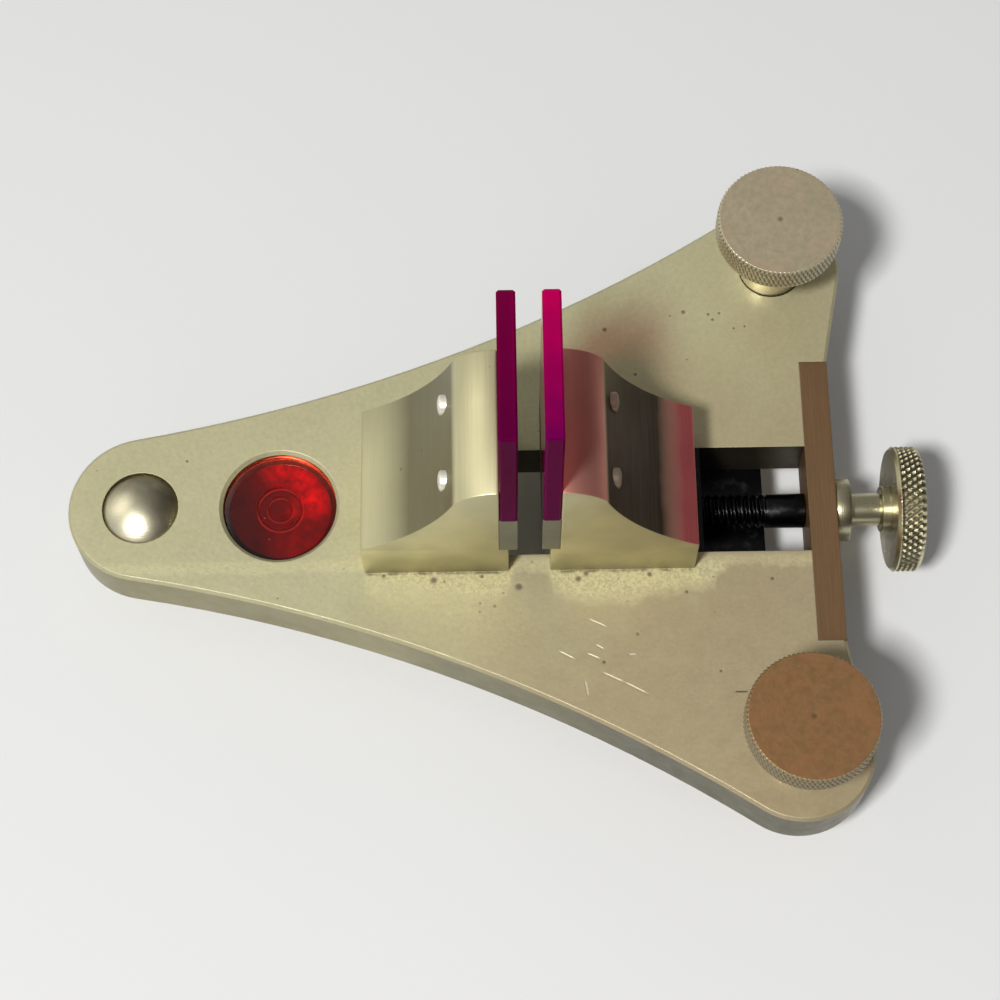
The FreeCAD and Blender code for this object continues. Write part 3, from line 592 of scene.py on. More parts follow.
def jaw_finish(name, colour, crest_z, toe_x, reach, painted_light_by_zone):
    """Jaw ground along Y, with painted light: for its crest, its hollow and its toe, a colour and a strength
    of painted highlight, reflection and shade.
    """
    made = Finish(name, 0.8, Roughness=0.35, Anisotropic=0.35)
    made.brush_along_y()
    tree = made.tree
    base = Vector(colour)
    clouds = spread(tree, made.noise(160, 4), 0.35, 0.68)
    lines = made.streaks(0.09 * MM, 9 * MM, 0.0, 3.0)
    line = spread(tree, lines, 0.35, 0.65)
    ends = spread(tree, made.facing(1), 0.7, 0.9)
    crest = spread(tree, made.z, crest_z - 0.6 * MM, crest_z + 0.3 * MM)
    tone = blend(tree, times(tree, clouds, 0.2), base * 1.03, base * 0.75)
    tone = blend(tree, times(tree, line, 0.25), tone, base * 0.45)
    ragged = times(tree, calc(tree, "SUBTRACT", clouds, 0.5), 0.3 * MM)
    toe = calc(tree, "ADD", calc(tree, "ABSOLUTE", calc(tree, "SUBTRACT", made.x, toe_x)), ragged)
    toe = spread(tree, toe, reach * 1.6, reach * 0.55)
    hollow = times(tree, calc(tree, "SUBTRACT", 1.0, toe), calc(tree, "SUBTRACT", 1.0, crest))
    above = spread(tree, made.facing(2), 0.1, 0.3)
    # Painted light: each colour of highlight, reflection and shade goes over the upward faces of its crest,
    # hollow or toe
    for mask, (painted_light, strength) in zip((crest, hollow, toe), painted_light_by_zone):
        mask = times(tree, mask, calc(tree, "SUBTRACT", strength, times(tree, line, 0.06)))
        tone = blend(tree, times(tree, mask, above), tone, painted_light)
    tone = blend(tree, ends, tone, blend(tree, clouds, base * 0.75, base * 0.60))
    spots = made.specks(2.2 * MM, 0.22 * MM, 0.22)
    tone = blend(tree, times(tree, spots, 0.4), tone, (0.09, 0.06, 0.04))
    rounded, near_edge = made.soft_edges(0.12 * MM)
    tone = blend(tree, times(tree, near_edge, 0.45), tone, base * 1.2)
    made.link("Base Color", tone)
    made.link("Roughness", calc(tree, "ADD", 0.40, times(tree, clouds, 0.10)))
    height = calc(tree, "ADD", times(tree, made.noise(5200, 2), 0.2), times(tree, lines, 0.6))
    made.link("Normal", made.bump(height, 0.03 * MM, 0.6, rounded))
    return made


def turned_finish(name, colour, roughness, centre, axis, ring=0.22, dirt_and_shade=(0.10, 0.075, 0.04), cloud=0.15,
                  metallic=1.0, side=None, mark=0.0, core=0.0):
    """Metal with turning rings round an axis, and grooves darkened by dirt and painted shade.

    side is the colour of the rim, mark the strength of the centre mark and core the radius of a middle that
    painted shade darkens.
    """
    made = Finish(name, metallic, Roughness=roughness)
    tree = made.tree
    base = Vector(colour)
    offset = add(tree, "ShaderNodeVectorMath", {0: made.point, 1: tuple(centre)},
                 operation="SUBTRACT").outputs[0]
    flat = (0.0, 1.0, 1.0) if axis == "X" else (1.0, 1.0, 0.0)
    flat_offset = add(tree, "ShaderNodeVectorMath", {0: offset, 1: flat}, operation="MULTIPLY").outputs[0]
    radius = add(tree, "ShaderNodeVectorMath", {0: flat_offset}, operation="LENGTH").outputs["Value"]
    along = made.x if axis == "X" else made.z
    ringed = add(tree, "ShaderNodeCombineXYZ", {0: times(tree, radius, 9000.0),
                                                1: times(tree, along, 9000.0)}).outputs[0]
    rings = made.noise(1.0, 3.0, ringed)
    clouds = spread(tree, made.noise(230, 4, rough=0.6), 0.35, 0.68)
    tone = blend(tree, times(tree, clouds, cloud * 2), base * 1.08, base * 0.68)
    fine = spread(tree, made.noise(1500, 4, rough=0.65), 0.36, 0.64)
    tone = blend(tree, times(tree, fine, cloud * 1.6), tone, base * 0.55)
    warm = spread(tree, made.noise(520, 3, rough=0.6), 0.46, 0.62)
    tone = blend(tree, times(tree, warm, cloud * 1.6), tone, (base.x * 1.15, base.y * 0.95, base.z * 0.98))
    tone = blend(tree, times(tree, spread(tree, rings, 0.35, 0.65), ring), tone, base * 0.7)
    if side is not None:
        tone = blend(tree, spread(tree, made.facing(2), 0.85, 0.5), tone, side)
    tone = blend(tree, times(tree, spread(tree, radius, 0.36 * MM, 0.12 * MM), mark), tone, dirt_and_shade)
    # Painted shade: a darker middle inside the core radius and darker faces that look along X
    if core:
        inner = calc(tree, "MAXIMUM", spread(tree, radius, core * 1.3, core),
                     spread(tree, made.facing(0), 0.7, 0.9))
        tone = blend(tree, times(tree, inner, 0.75), tone, base * 0.5)
    spots = made.specks(1.9 * MM, 0.2 * MM, 0.25)
    tone = blend(tree, times(tree, spots, min(1.0, cloud * 4)), tone, (0.09, 0.055, 0.035))
    # Dirt and painted shade in the grooves of the knurls and threads
    groove = add(tree, "ShaderNodeAttribute", attribute_name="groove").outputs["Fac"]
    tone = blend(tree, spread(tree, groove, 0.3, 0.8, 0.0, 0.9), tone, dirt_and_shade)
    rounded, near_edge = made.soft_edges(0.1 * MM)
    tone = blend(tree, times(tree, near_edge, 0.35), tone, base * 1.25)
    made.link("Base Color", tone)
    made.link("Roughness", calc(tree, "ADD", roughness - 0.03,
                                calc(tree, "ADD", times(tree, clouds, 0.1),
                                     spread(tree, groove, 0.5, 1.0, 0.0, 0.25))))
    height = calc(tree, "ADD", times(tree, rings, 0.9), times(tree, made.noise(5200, 2), 0.2))
    made.link("Normal", made.bump(height, 0.02 * MM, 0.6, rounded))
    return made


def black_finish(name, colour):
    """Blackened steel with worn patches and edges and darker grooves."""
    made = Finish(name, Roughness=0.35)
    tree = made.tree
    base = Vector(colour)
    worn = spread(tree, made.noise(900, 4), 0.55, 0.75)
    tone = blend(tree, times(tree, worn, 0.4), base, (0.10, 0.094, 0.088))
    groove = add(tree, "ShaderNodeAttribute", attribute_name="groove").outputs["Fac"]
    tone = blend(tree, spread(tree, groove, 0.2, 0.9, 0.0, 0.9), tone, (0.01, 0.01, 0.011))
    rounded, near_edge = made.soft_edges(0.08 * MM)
    tone = blend(tree, times(tree, near_edge, 0.5), tone, (0.22, 0.21, 0.20))
    made.link("Base Color", tone)
    made.link("Roughness", calc(tree, "ADD", 0.30, times(tree, worn, 0.2)))
    made.link("Normal", made.bump(made.noise(4200, 3), 0.02 * MM, 0.5, rounded))
    return made


def lets_light_in(finish, tint):
    """Let lamps and soft light through a clear finish, tinted, so that what is behind it is lit."""
    tree = finish.tree
    path = add(tree, "ShaderNodeLightPath").outputs
    passing = calc(tree, "MAXIMUM", path["Is Shadow Ray"], path["Is Diffuse Ray"])
    clear = add(tree, "ShaderNodeBsdfTransparent", {0: (*tint, 1.0)})
    both = add(tree, "ShaderNodeMixShader", {0: passing, 1: finish.shader.outputs[0], 2: clear.outputs[0]})
    tree.links.new(both.outputs[0], tree.nodes["Material Output"].inputs["Surface"])


def ruby_finish(colour, low_z):
    """Deep synthetic ruby with painted light: a painted glow at its far upper end, painted shade that makes
    it purple towards its seat and darker on the left blade and its end faces, and a painted pink highlight on
    its edges.
    """
    made = Finish("ruby", metallic=0.0, Roughness=0.08, IOR=1.76, Transmission_Weight=0.03,
                  Specular_IOR_Level=0.002)
    tree = made.tree
    base = Vector(colour)
    # Painted glow: brighter towards the far end
    far = spread(tree, made.y, -8 * MM, 6 * MM)
    veil = spread(tree, made.noise(330, 3), 0.3, 0.7)
    far = calc(tree, "SUBTRACT", far, times(tree, veil, 0.2), clamp=True)
    tone = blend(tree, far, (0.15, 0.0, 0.065), base)
    # Painted shade: the blade on the left is darker
    tone = blend(tree, spread(tree, made.x, 4.5 * MM, 1.5 * MM, 0.0, 0.82), tone, (0.085, 0.0, 0.026))
    # Painted shade: darker and purple towards the seat
    low = spread(tree, made.z, low_z + 7 * MM, low_z + 1 * MM)
    tone = blend(tree, times(tree, low, 0.85), tone, (0.13, 0.0, 0.07))
    # Painted shade on the end faces
    end = spread(tree, made.facing(1), 0.5, 0.8)
    tone = blend(tree, times(tree, end, 0.7), tone, (0.07, 0.0, 0.028))
    # Painted highlight: pink edges
    _, near_edge = made.soft_edges(0.12 * MM)
    tone = blend(tree, times(tree, near_edge, 0.2), tone, (0.6, 0.01, 0.2))
    made.link("Base Color", tone)
    made.link("Normal", made.bump(made.streaks(0.05 * MM, 3 * MM), 0.01 * MM, 0.25))
    lets_light_in(made, (0.62, 0.30, 0.33))
    return made


def level_red(name, colours, centre, shade):
    """Red depth of the level with painted light: painted shade on the left, painted light on the right and
    low down, painted glints, and a painted shadow and a painted highlight beside each engraved circle.
    """
    made = Finish(name, metallic=0.0, Roughness=0.14, IOR=1.36, Specular_IOR_Level=0.3)
    tree = made.tree
    red = Vector(colours.level)

    def near(x, y, radius, soft=0.9):
        return made.spot(centre.x + x * MM, centre.y + y * MM, radius * MM, soft)

    x, y, _ = add(tree, "ShaderNodeSeparateXYZ",
                  {0: add(tree, "ShaderNodeVectorMath", {0: made.point, 1: tuple(centre)},
                          operation="SUBTRACT").outputs[0]}).outputs
    # Painted shade on the left, fading into the lit right
    swirl = times(tree, calc(tree, "SUBTRACT", made.noise(800, 4, rough=0.6), 0.5), 3.0 * MM)
    lean = calc(tree, "ADD", calc(tree, "ADD", times(tree, x, 0.9), times(tree, y, 0.35)), swirl)
    tone = blend(tree, spread(tree, lean, -3.2 * MM, 1.4 * MM), (0.060, 0.016, 0.020), red * 0.33)
    # Painted light low on the disc
    low = times(tree, near(1.4, -4.2, 3.2), 0.8)
    tone = blend(tree, low, tone, red * 0.42)
    dull = spread(tree, made.noise(1250, 4, rough=0.65), 0.42, 0.60)
    tone = blend(tree, times(tree, dull, 0.55), tone, (0.085, 0.018, 0.010))
    # Painted light on the right
    lit = made.most([near(3.1, 1.1, 2.4), near(2.1, 3.3, 2.3),
                     times(tree, near(-0.2, 4.4, 2.4), 0.75), times(tree, near(1.2, -0.2, 0.8), 0.8)])
    lit = times(tree, lit, spread(tree, made.noise(1100, 4, rough=0.6), 0.25, 0.55))
    tone = blend(tree, lit, tone, (min(1.0, red.x * 1.3), red.y * 0.8, red.z + 0.02))
    away = add(tree, "ShaderNodeVectorMath", {0: add(tree, "ShaderNodeCombineXYZ", {0: x, 1: y}).outputs[0]},
               operation="LENGTH").outputs["Value"]
    # Painted shadow and painted highlight beside each engraved circle
    dark, pale = (0.05, 0.008, 0.008), (0.62, 0.12, 0.10)
    for at, strength in ((2.05, 0.6), (1.1, 0.5)):
        for shift, wide, line_colour in ((0.0, 0.20, dark), (0.17, 0.12, pale)):
            off = calc(tree, "ABSOLUTE", calc(tree, "SUBTRACT", away, (at + shift) * MM))
            line = spread(tree, off, wide * MM, wide * 0.35 * MM)
            tone = blend(tree, times(tree, line, strength), tone, line_colour)
    # Painted glints low on the left
    painted_glints = times(tree, made.specks(0.55 * MM, 0.14 * MM, 0.45), near(-1.9, -1.6, 2.4))
    grain = spread(tree, made.noise(2600, 4, rough=0.7), 0.45, 0.65)
    tone = blend(tree, times(tree, grain, 0.35), tone, (0.10, 0.012, 0.015))
    tone = blend(tree, painted_glints, tone, (0.75, 0.50, 0.46))
    tone = blend(tree, shade, tone, (0.16, 0.02, 0.012))
    made.link("Base Color", tone)
    made.link("Normal", made.bump(made.noise(1500, 3), 0.06 * MM, 0.5))
    return made


def level_finishes(colours, centre):
    """Finishes of the round level: liquid, glass, bubble, dial and housing."""
    liquid = level_red("level_liquid", colours, centre, 0.0)
    bubble = level_red("level_bubble", colours, centre, 0.35)
    glass = Finish("level_glass", metallic=0.0, Roughness=0.02, IOR=1.47, Transmission_Weight=1.0)
    smear = spread(glass.tree, glass.noise(700, 4), 0.45, 0.75)
    glass.link("Base Color", blend(glass.tree, smear, (0.95, 0.30, 0.26), (0.86, 0.20, 0.17)))
    glass.link("Roughness", calc(glass.tree, "ADD", 0.02, times(glass.tree, smear, 0.06)))
    lets_light_in(glass, (0.95, 0.55, 0.52))
    dial = metal_finish("level_dial", (0.45, 0.02, 0.02), 0.4)
    housing = turned_finish("level_housing", (0.50, 0.40, 0.18), 0.3, centre, "Z")
    return liquid, glass, bubble, dial, housing


# Operators
class POISING_OT_plate(bpy.types.Operator):
    """Finish the base plate and the end plate"""
    bl_idname = "poising.plate"
    bl_label = "Plates"

    def execute(self, context):
        colours = context.scene.tool_colours
        paint(plate_finish(colours), "base_plate")
        brown = metal_finish("end_plate_metal", colours.tarnish, 0.40, streak=0.35, cloud=0.3, metallic=0.6)
        paint(brown, "end_plate")
        return {"FINISHED"}


class POISING_OT_jaws(bpy.types.Operator):
    """Mill both jaws with their ledges, and finish rubies, seats and guide"""
    bl_idname = "poising.jaws"
    bl_label = "Jaws and rubies"

    def execute(self, context):
        sizes, colours = context.scene.tool_sizes, context.scene.tool_colours
        jaw_low, jaw_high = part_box("fixed_jaw")
        _, slider_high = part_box("sliding_jaw")
        crest_depth, fixed_toe, sliding_toe = 2.1 * MM, 3.0 * MM, 2.3 * MM
        crest_z = jaw_high.z - crest_depth
        # Colour and strength of the painted light on the crest, the hollow and the toe
        # Fixed jaw: a paler crest as painted highlight, a dark hollow as painted reflection and shade, a
        # darker toe as painted shade
        silver = jaw_finish("jaw_metal", colours.jaws, crest_z, jaw_low.x, fixed_toe, (
            ((0.70, 0.65, 0.39), 0.5), ((0.20, 0.185, 0.105), 0.95), ((0.48, 0.45, 0.27), 0.5)))
        # Sliding jaw: a reddish brown crest and a pink toe as painted red light from the rubies, a near-black
        # hollow as painted reflection and shade
        light_painted = jaw_finish("filmed_jaw_metal", colours.jaws, crest_z, slider_high.x, sliding_toe, (
            ((0.60, 0.24, 0.19), 1.0), ((0.045, 0.028, 0.018), 1.0), ((0.64, 0.125, 0.135), 1.0)))
        black = black_finish("dark_steel", colours.black_steel)
        blade_low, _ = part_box("fixed_blade")
        ruby = ruby_finish(colours.ruby, blade_low.z)
        seat = metal_finish("seat_steel", (0.20, 0.21, 0.19), 0.42, streak=0.3, cloud=0.2)
        # Painted shadow: the sliding jaw's pins are a darker brown copy of the same pin steel
        pins = {"fixed": metal_finish("pins", (0.86, 0.82, 0.70), 0.34, cloud=0.05, metallic=0.6),
                "sliding": metal_finish("filmed_pins", (0.26, 0.20, 0.14), 0.4, cloud=0.2, metallic=0.6)}
        for prefix, body, way in (("fixed", "base", 1), ("sliding", "slider", -1)):
            mesh = self.jaw_mesh(prefix + "_jaw", way, sizes.edge_round * 1.4)
            place(prefix + "_jaw_milled", mesh, body, "jaw_metal", prefix + "_jaw",
                  finish=silver if way > 0 else light_painted, crease=JAW_CREASE)
            paint(ruby, prefix + "_blade")
            paint(seat, prefix + "_blade_seat")
            self.pins(prefix, body, way, pins[prefix])
        paint(black, "guide_block", "keeper_plate")
        return {"FINISHED"}

    @staticmethod
    def jaw_mesh(node, way, round_size):
        """Scooped block with rounded edges; way is +1 where the toe points to -X.

        The profile is in millimetres from the face that carries the blade, with the toe towards -X.
        """
        toe_x, toe_z = -13.1, 6.1
        hollow, hollow_radius = (-23.02, 23.466), 20.0
        crest, crest_radius = (0.0, 14.2), 5.0
        crease_x, crease_z = -4.05, 17.132
        ledge_x, ledge_z = 0.85, 5.7
        low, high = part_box(node)
        face = (high.x if way > 0 else low.x) - way * ledge_x * MM
        profile = [(toe_x, 0.0), (toe_x, toe_z)]
        first = math.atan2(toe_z - hollow[1], toe_x - hollow[0])
        last = math.atan2(crease_z - hollow[1], crease_x - hollow[0])
        profile += arc(hollow, hollow_radius, first, last, 30)[1:-1]
        first = math.atan2(crease_z - crest[1], crease_x - crest[0])
        profile += arc(crest, crest_radius, first, QUARTER, 18)
        profile += [(0.0, ledge_z), (ledge_x, ledge_z), (ledge_x, 0.0)]
        made = bmesh.new()
        side = [made.verts.new((face + way * x * MM, low.y, low.z + z * MM)) for x, z in profile]
        first_face = made.faces.new(side)
        swept = bmesh.ops.extrude_face_region(made, geom=[first_face])
        bmesh.ops.translate(made, vec=(0, high.y - low.y, 0),
                            verts=[item for item in swept["geom"] if isinstance(item, bmesh.types.BMVert)])
        bmesh.ops.recalc_face_normals(made, faces=made.faces)
        sharp = [edge for edge in made.edges if len(edge.link_faces) == 2
                 and edge.calc_face_angle() > math.radians(JAW_CREASE)]
        bmesh.ops.bevel(made, geom=sharp, offset=round_size, segments=2, profile=0.5, affect="EDGES",
                        clamp_overlap=True)
        bmesh.ops.recalc_face_normals(made, faces=made.faces)
        mesh = bpy.data.meshes.new(node + "_milled")
        made.to_mesh(mesh)
        made.free()
        return mesh

    @staticmethod
    def pins(prefix, body, way, finish):
        """Two domed pins through the jaw."""
        low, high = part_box(prefix + "_blade_pins")
        radius, length = (high.z - low.z) / 2, high.x - low.x
        middle = (low.z + high.z) / 2
        rise = 0.35 * MM
        profile = [(0.0, 0.0), (0.0, radius)]
        profile += [(length - rise * (1 - math.cos(angle)), radius * math.sin(angle))
                    for angle in steps(QUARTER, 0.0, 8)]
        mesh = turned_mesh("pin", profile, 28)
        both = bmesh.new()
        for y in (low.y + radius, high.y - radius):
            start = len(both.verts)
            both.from_mesh(mesh)
            both.verts.ensure_lookup_table()
            turn = Matrix.Rotation(-way * QUARTER, 4, "Y")
            base = high.x if way > 0 else low.x
            bmesh.ops.transform(both, matrix=Matrix.Translation((base, y, middle)) @ turn,
                                verts=both.verts[start:])
        result = bpy.data.meshes.new(prefix + "_pins")
        both.to_mesh(result)
        both.free()
        place(prefix + "_pins_domed", result, body, "pins", prefix + "_blade_pins", finish=finish)


class POISING_OT_nose(bpy.types.Operator):
    """Turn the domed stud and the third foot"""
    bl_idname = "poising.nose"
    bl_label = "Nose stud and foot"

    def execute(self, context):
        size = context.scene.tool_sizes.edge_round
        low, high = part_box("nose_stud")
        centre = (low + high) / 2
        radius = (high.x - low.x) / 2
        spigot, rim, thick = 1.5 * MM, 11.7 * MM, 1.2 * MM
        crown = high.z - rim
        sphere = (radius ** 2 + crown ** 2) / (2 * crown)
        reach = math.asin(radius / sphere)
        profile = eased([(low.z, 0.0), (low.z, spigot), (rim - thick, spigot),
                         (rim - thick, radius - 0.04 * MM), (rim - 0.02 * MM, radius)], size)
        profile += [(high.z - sphere * (1 - math.cos(angle)), sphere * math.sin(angle))
                    for angle in steps(reach * 0.985, 0.0, 14)]
        polish = turned_finish("stud", (0.80, 0.75, 0.54), 0.34, centre, "Z", ring=0.12, cloud=0.14)
        # Painted reflection and shade on the far and right side of the stud
        polish.paint_shade_far_side(centre, 1.6 * MM)
        mesh = turned_mesh("nose_stud", profile, 64)
        mesh.transform(Matrix.Translation((centre.x, centre.y, 0)))
        place("nose_stud_domed", mesh, "base", "stud", "nose_stud", finish=polish)
        foot_low, foot_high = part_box("nose_foot")
        foot_radius = (foot_high.x - foot_low.x) / 2
        foot = metal_finish("foot_metal", (0.60, 0.57, 0.45), 0.25)
        tip, tip_height, bore, bore_depth = 1.9 * MM, 1.5 * MM, 1.52 * MM, 3.7 * MM
        profile = eased([(0.0, 0.0), (0.0, tip), (tip_height, tip), (tip_height, foot_radius),
                         (foot_high.z, foot_radius), (foot_high.z, bore),
                         (foot_high.z - bore_depth, bore), (foot_high.z - bore_depth, 0.0)], size)
        mesh = turned_mesh("nose_foot", profile, 56)
        mesh.transform(Matrix.Translation((centre.x, centre.y, 0)))
        place("nose_foot_turned", mesh, "base", "screw_metal", "nose_foot", finish=foot)
        return {"FINISHED"}


class POISING_OT_level(bpy.types.Operator):
    """Make the lens of the round level with its two circles, and finish its parts"""
    bl_idname = "poising.level"
    bl_label = "Round level"

    def execute(self, context):
        low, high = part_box("level_glass")
        centre = (low + high) / 2
        radius = (high.x - low.x) / 2
        liquid, glass, bubble, dial, housing = level_finishes(context.scene.tool_colours, centre)
        circles, half_width, cut, rise = (2.15 * MM, 1.15 * MM), 0.07 * MM, 0.06 * MM, 0.2 * MM
        profile = [(low.z, 0.0), (low.z, radius * 0.5), (low.z, radius - 0.15 * MM),
                   (low.z + 0.1 * MM, radius), (high.z - 0.05 * MM, radius)]

        def crown(at):
            return (high.z + rise * (1 - (at / radius) ** 2), at)

        profile += [crown(radius * share) for share in (0.97, 0.85, 0.7, 0.55)]
        for at in circles:
            profile += [crown(at + half_width), (crown(at)[0] - cut, at), crown(at - half_width)]
        profile += [crown(radius * 0.1), crown(0.0)]
        mesh = turned_mesh("level_lens", profile, 72)
        mesh.transform(Matrix.Translation((centre.x, centre.y, 0)))
        place("level_lens", mesh, "base", "level_glass", "level_glass", finish=glass)
        paint(liquid, "level_liquid")
        paint(bubble, "level_bubble")
        paint(dial, "level_dial")
        paint(housing, "level_cup")
        return {"FINISHED"}


class POISING_OT_levelling_screws(bpy.types.Operator):
    """Turn, thread and serrate both levelling screws"""
    bl_idname = "poising.levelling_screws"
    bl_label = "Levelling screws"

    def execute(self, context):
        sizes, colours = context.scene.tool_sizes, context.scene.tool_colours
        grooves = groove_tree()
        silver = Vector(colours.plate)
        # Colour of the top, colour of the rim, roughness and clouds
        tones = {"front": ((0.37, 0.20, 0.083), (0.34, 0.28, 0.16), 0.40, 0.28),
                 "back": ((silver.x * 1.06, silver.y * 0.98, silver.z * 1.02),
                          (0.56, 0.51, 0.34), 0.36, 0.22)}
        for side in ("front", "back"):
            self.head(side, sizes, grooves, *tones[side])
            self.stem(side, sizes, grooves)
        return {"FINISHED"}

    @staticmethod
    def head(side, sizes, grooves, tone, rim, roughness, cloud):
        low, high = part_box(side + "_screw_head")
        centre = (low + high) / 2
        radius, width = (high.x - low.x) / 2, high.z - low.z
        lower_chamfer, chamfer = 0.12 * MM, 0.28 * MM
        bore, depth = 1.95 * MM, 1.95 * MM
        dimple, dimple_depth = 0.24 * MM, 0.04 * MM
        lean = 900.0
        rows = [(z, radius) for z in steps(lower_chamfer, width - chamfer, 6)]
        profile = [(depth, 0.0), (depth, bore), (0.0, bore), (0.0, radius - lower_chamfer)] + rows
        profile += [(width, radius - chamfer), (width, 0.55 * MM), (width, dimple),
                    (width - dimple_depth, 0.0)]
        finish = turned_finish(side + "_head_metal", tone, roughness, centre, "Z", ring=0.22, cloud=cloud,
                               metallic=0.65, side=rim, mark=0.6)
        mesh = grown(side + "_head", turned_mesh("head", profile, sizes.head_teeth * 4), grooves, **{
            "Teeth": sizes.head_teeth, "Grooves per metre": lean, "Diamond": False,
            "Depth": sizes.knurl_depth * 1.1, "Rim radius": radius, "From": -1.0 * MM,
            "To": width + 1 * MM, "Fade": 0.1 * MM, "Place": (centre.x, centre.y, low.z),
            "Finish": finish.material})
        place(side + "_head_serrated", mesh, side + "_head", "head_metal", side + "_screw_head", crease=22)

    @staticmethod
    def stem(side, sizes, grooves):
        low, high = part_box(side + "_screw_stem")
        centre = (low + high) / 2
        radius, size = (high.x - low.x) / 2, sizes.edge_round
        tip, tip_height, chamfer = 1.9 * MM, 1.5 * MM, 0.1 * MM
        lead_in, thread_top, shoulder = 0.3 * MM, 11.6 * MM, 19.35 * MM
        rows = [(z, radius) for z in steps(tip_height + lead_in, thread_top, 78)]
        profile = [(0.0, 0.0), (0.0, tip - chamfer), (chamfer, tip), (tip_height, tip),
                   (tip_height, radius - lead_in)] + rows
        profile += eased([rows[-1], (shoulder, radius), (shoulder, tip), (high.z, tip),
                          (high.z, 0.0)], size)[1:]
        finish = turned_finish("screw_metal", (0.66, 0.62, 0.49), 0.2, centre, "Z", ring=0.3, cloud=0.1)
        mesh = grown(side + "_stem", turned_mesh("stem", profile, 48), grooves, **{
            "Teeth": 1, "Grooves per metre": -1 / sizes.thread_pitch, "Diamond": False,
            "Depth": sizes.thread_depth, "Rim radius": radius, "From": 1.7 * MM, "To": thread_top,
            "Fade": 0.3 * MM, "Place": (centre.x, centre.y, low.z), "Finish": finish.material})
        place(side + "_stem_threaded", mesh, side + "_stem", "screw_metal", side + "_screw_stem")


class POISING_OT_adjusting_screw(bpy.types.Operator):
    """Thread the adjusting screw and knurl its knob"""
    bl_idname = "poising.adjusting_screw"
    bl_label = "Adjusting screw and knob"

    def execute(self, context):
        sizes, colours = context.scene.tool_sizes, context.scene.tool_colours
        grooves = groove_tree()
        low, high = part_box("adjusting_knob")
        axis = (0.0, 0.0, (low.z + high.z) / 2)
        along_x = (0.0, QUARTER, 0.0)
        radius, length = (high.z - low.z) / 2, high.x - low.x
        neck, face, sleeve = 4.0 * MM, 0.35 * MM, 1.6 * MM
        boss, boss_start = 2.3 * MM, 3.0 * MM
        row = sizes.knob_diamond / 4
        count = max(4, round((length - neck - 2 * face) / row))
        rows = [(min(z, length - face), radius) for z in steps(neck + face, neck + face + count * row, count)]
        profile = [(0.0, BORE), (0.0, sleeve), (boss_start, sleeve), (boss_start + 0.1 * MM, boss - 0.1 * MM),
                   (boss_start + 0.2 * MM, boss), (neck - 0.05 * MM, boss), (neck, boss + 0.05 * MM),
                   (neck, radius - face)] + rows
        profile += [(length, radius - face - 0.1 * MM), (length, BORE + 0.25 * MM),
                    (length - 0.2 * MM, BORE), (0.0, BORE)]
        brass = turned_finish("knob_metal", (0.80, 0.74, 0.48), 0.28, axis, "X", dirt_and_shade=(0.05, 0.04, 0.02),
                              core=3.4 * MM)
        mesh = grown("knob", turned_mesh("knob", profile, sizes.knob_teeth * 4), grooves, **{
            "Teeth": sizes.knob_teeth, "Grooves per metre": 1 / sizes.knob_diamond, "Diamond": True,
            "Depth": sizes.knurl_depth * 1.4, "Rim radius": radius, "From": neck + face,
            "To": length + 1 * MM, "Fade": 0.001 * MM, "Place": (low.x, axis[1], axis[2]),
            "Turn": along_x, "Finish": brass.material})
        place("adjusting_knob_knurled", mesh, "spindle", "knob_metal", "adjusting_knob", crease=22)
        self.collar(sizes, axis, along_x, brass)
        self.lead_screw(sizes, colours, grooves, axis, along_x)
        return {"FINISHED"}

    @staticmethod
    def collar(sizes, axis, turn, finish):
        low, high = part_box("thrust_collar")
        radius, length = (high.z - low.z) / 2, high.x - low.x
        middle = (length / 2, BORE)
        profile = eased([middle, (0.0, BORE), (0.0, radius), (length, radius), (length, BORE), middle],
                        sizes.edge_round * 1.5)
        mesh = turned_mesh("collar", profile, 56)
        mesh.transform(Matrix.Translation((low.x, axis[1], axis[2])) @ Matrix.Rotation(turn[1], 4, "Y"))
        place("thrust_collar_turned", mesh, "spindle", "knob_metal", "thrust_collar", finish=finish)

    @staticmethod
    def lead_screw(sizes, colours, grooves, axis, turn):
        low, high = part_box("lead_screw")
        radius, length = 1.7 * MM, high.x - low.x
        thread_end, shoulder, journal = 19.5 * MM, 23.2 * MM, 1.3 * MM
        rows = [(z, radius) for z in steps(0.5 * MM, thread_end, 152)]
        profile = [(0.0, 0.0), (0.0, radius * 0.7)] + rows
        profile += eased([rows[-1], (shoulder, radius), (shoulder, journal), (length, journal),
                          (length, 0.0)], sizes.edge_round)[1:]
        black = black_finish("screw_steel", colours.black_steel)
        mesh = grown("lead_screw", turned_mesh("lead_screw", profile, 36), grooves, **{
            "Teeth": 1, "Grooves per metre": -1 / sizes.thread_pitch, "Diamond": False,
            "Depth": sizes.thread_depth, "Rim radius": radius, "From": 0.4 * MM, "To": thread_end + 0.1 * MM,
            "Fade": 0.3 * MM, "Place": (low.x, axis[1], axis[2]), "Turn": turn, "Finish": black.material})
        place("lead_screw_threaded", mesh, "spindle", "dark_steel", "lead_screw")


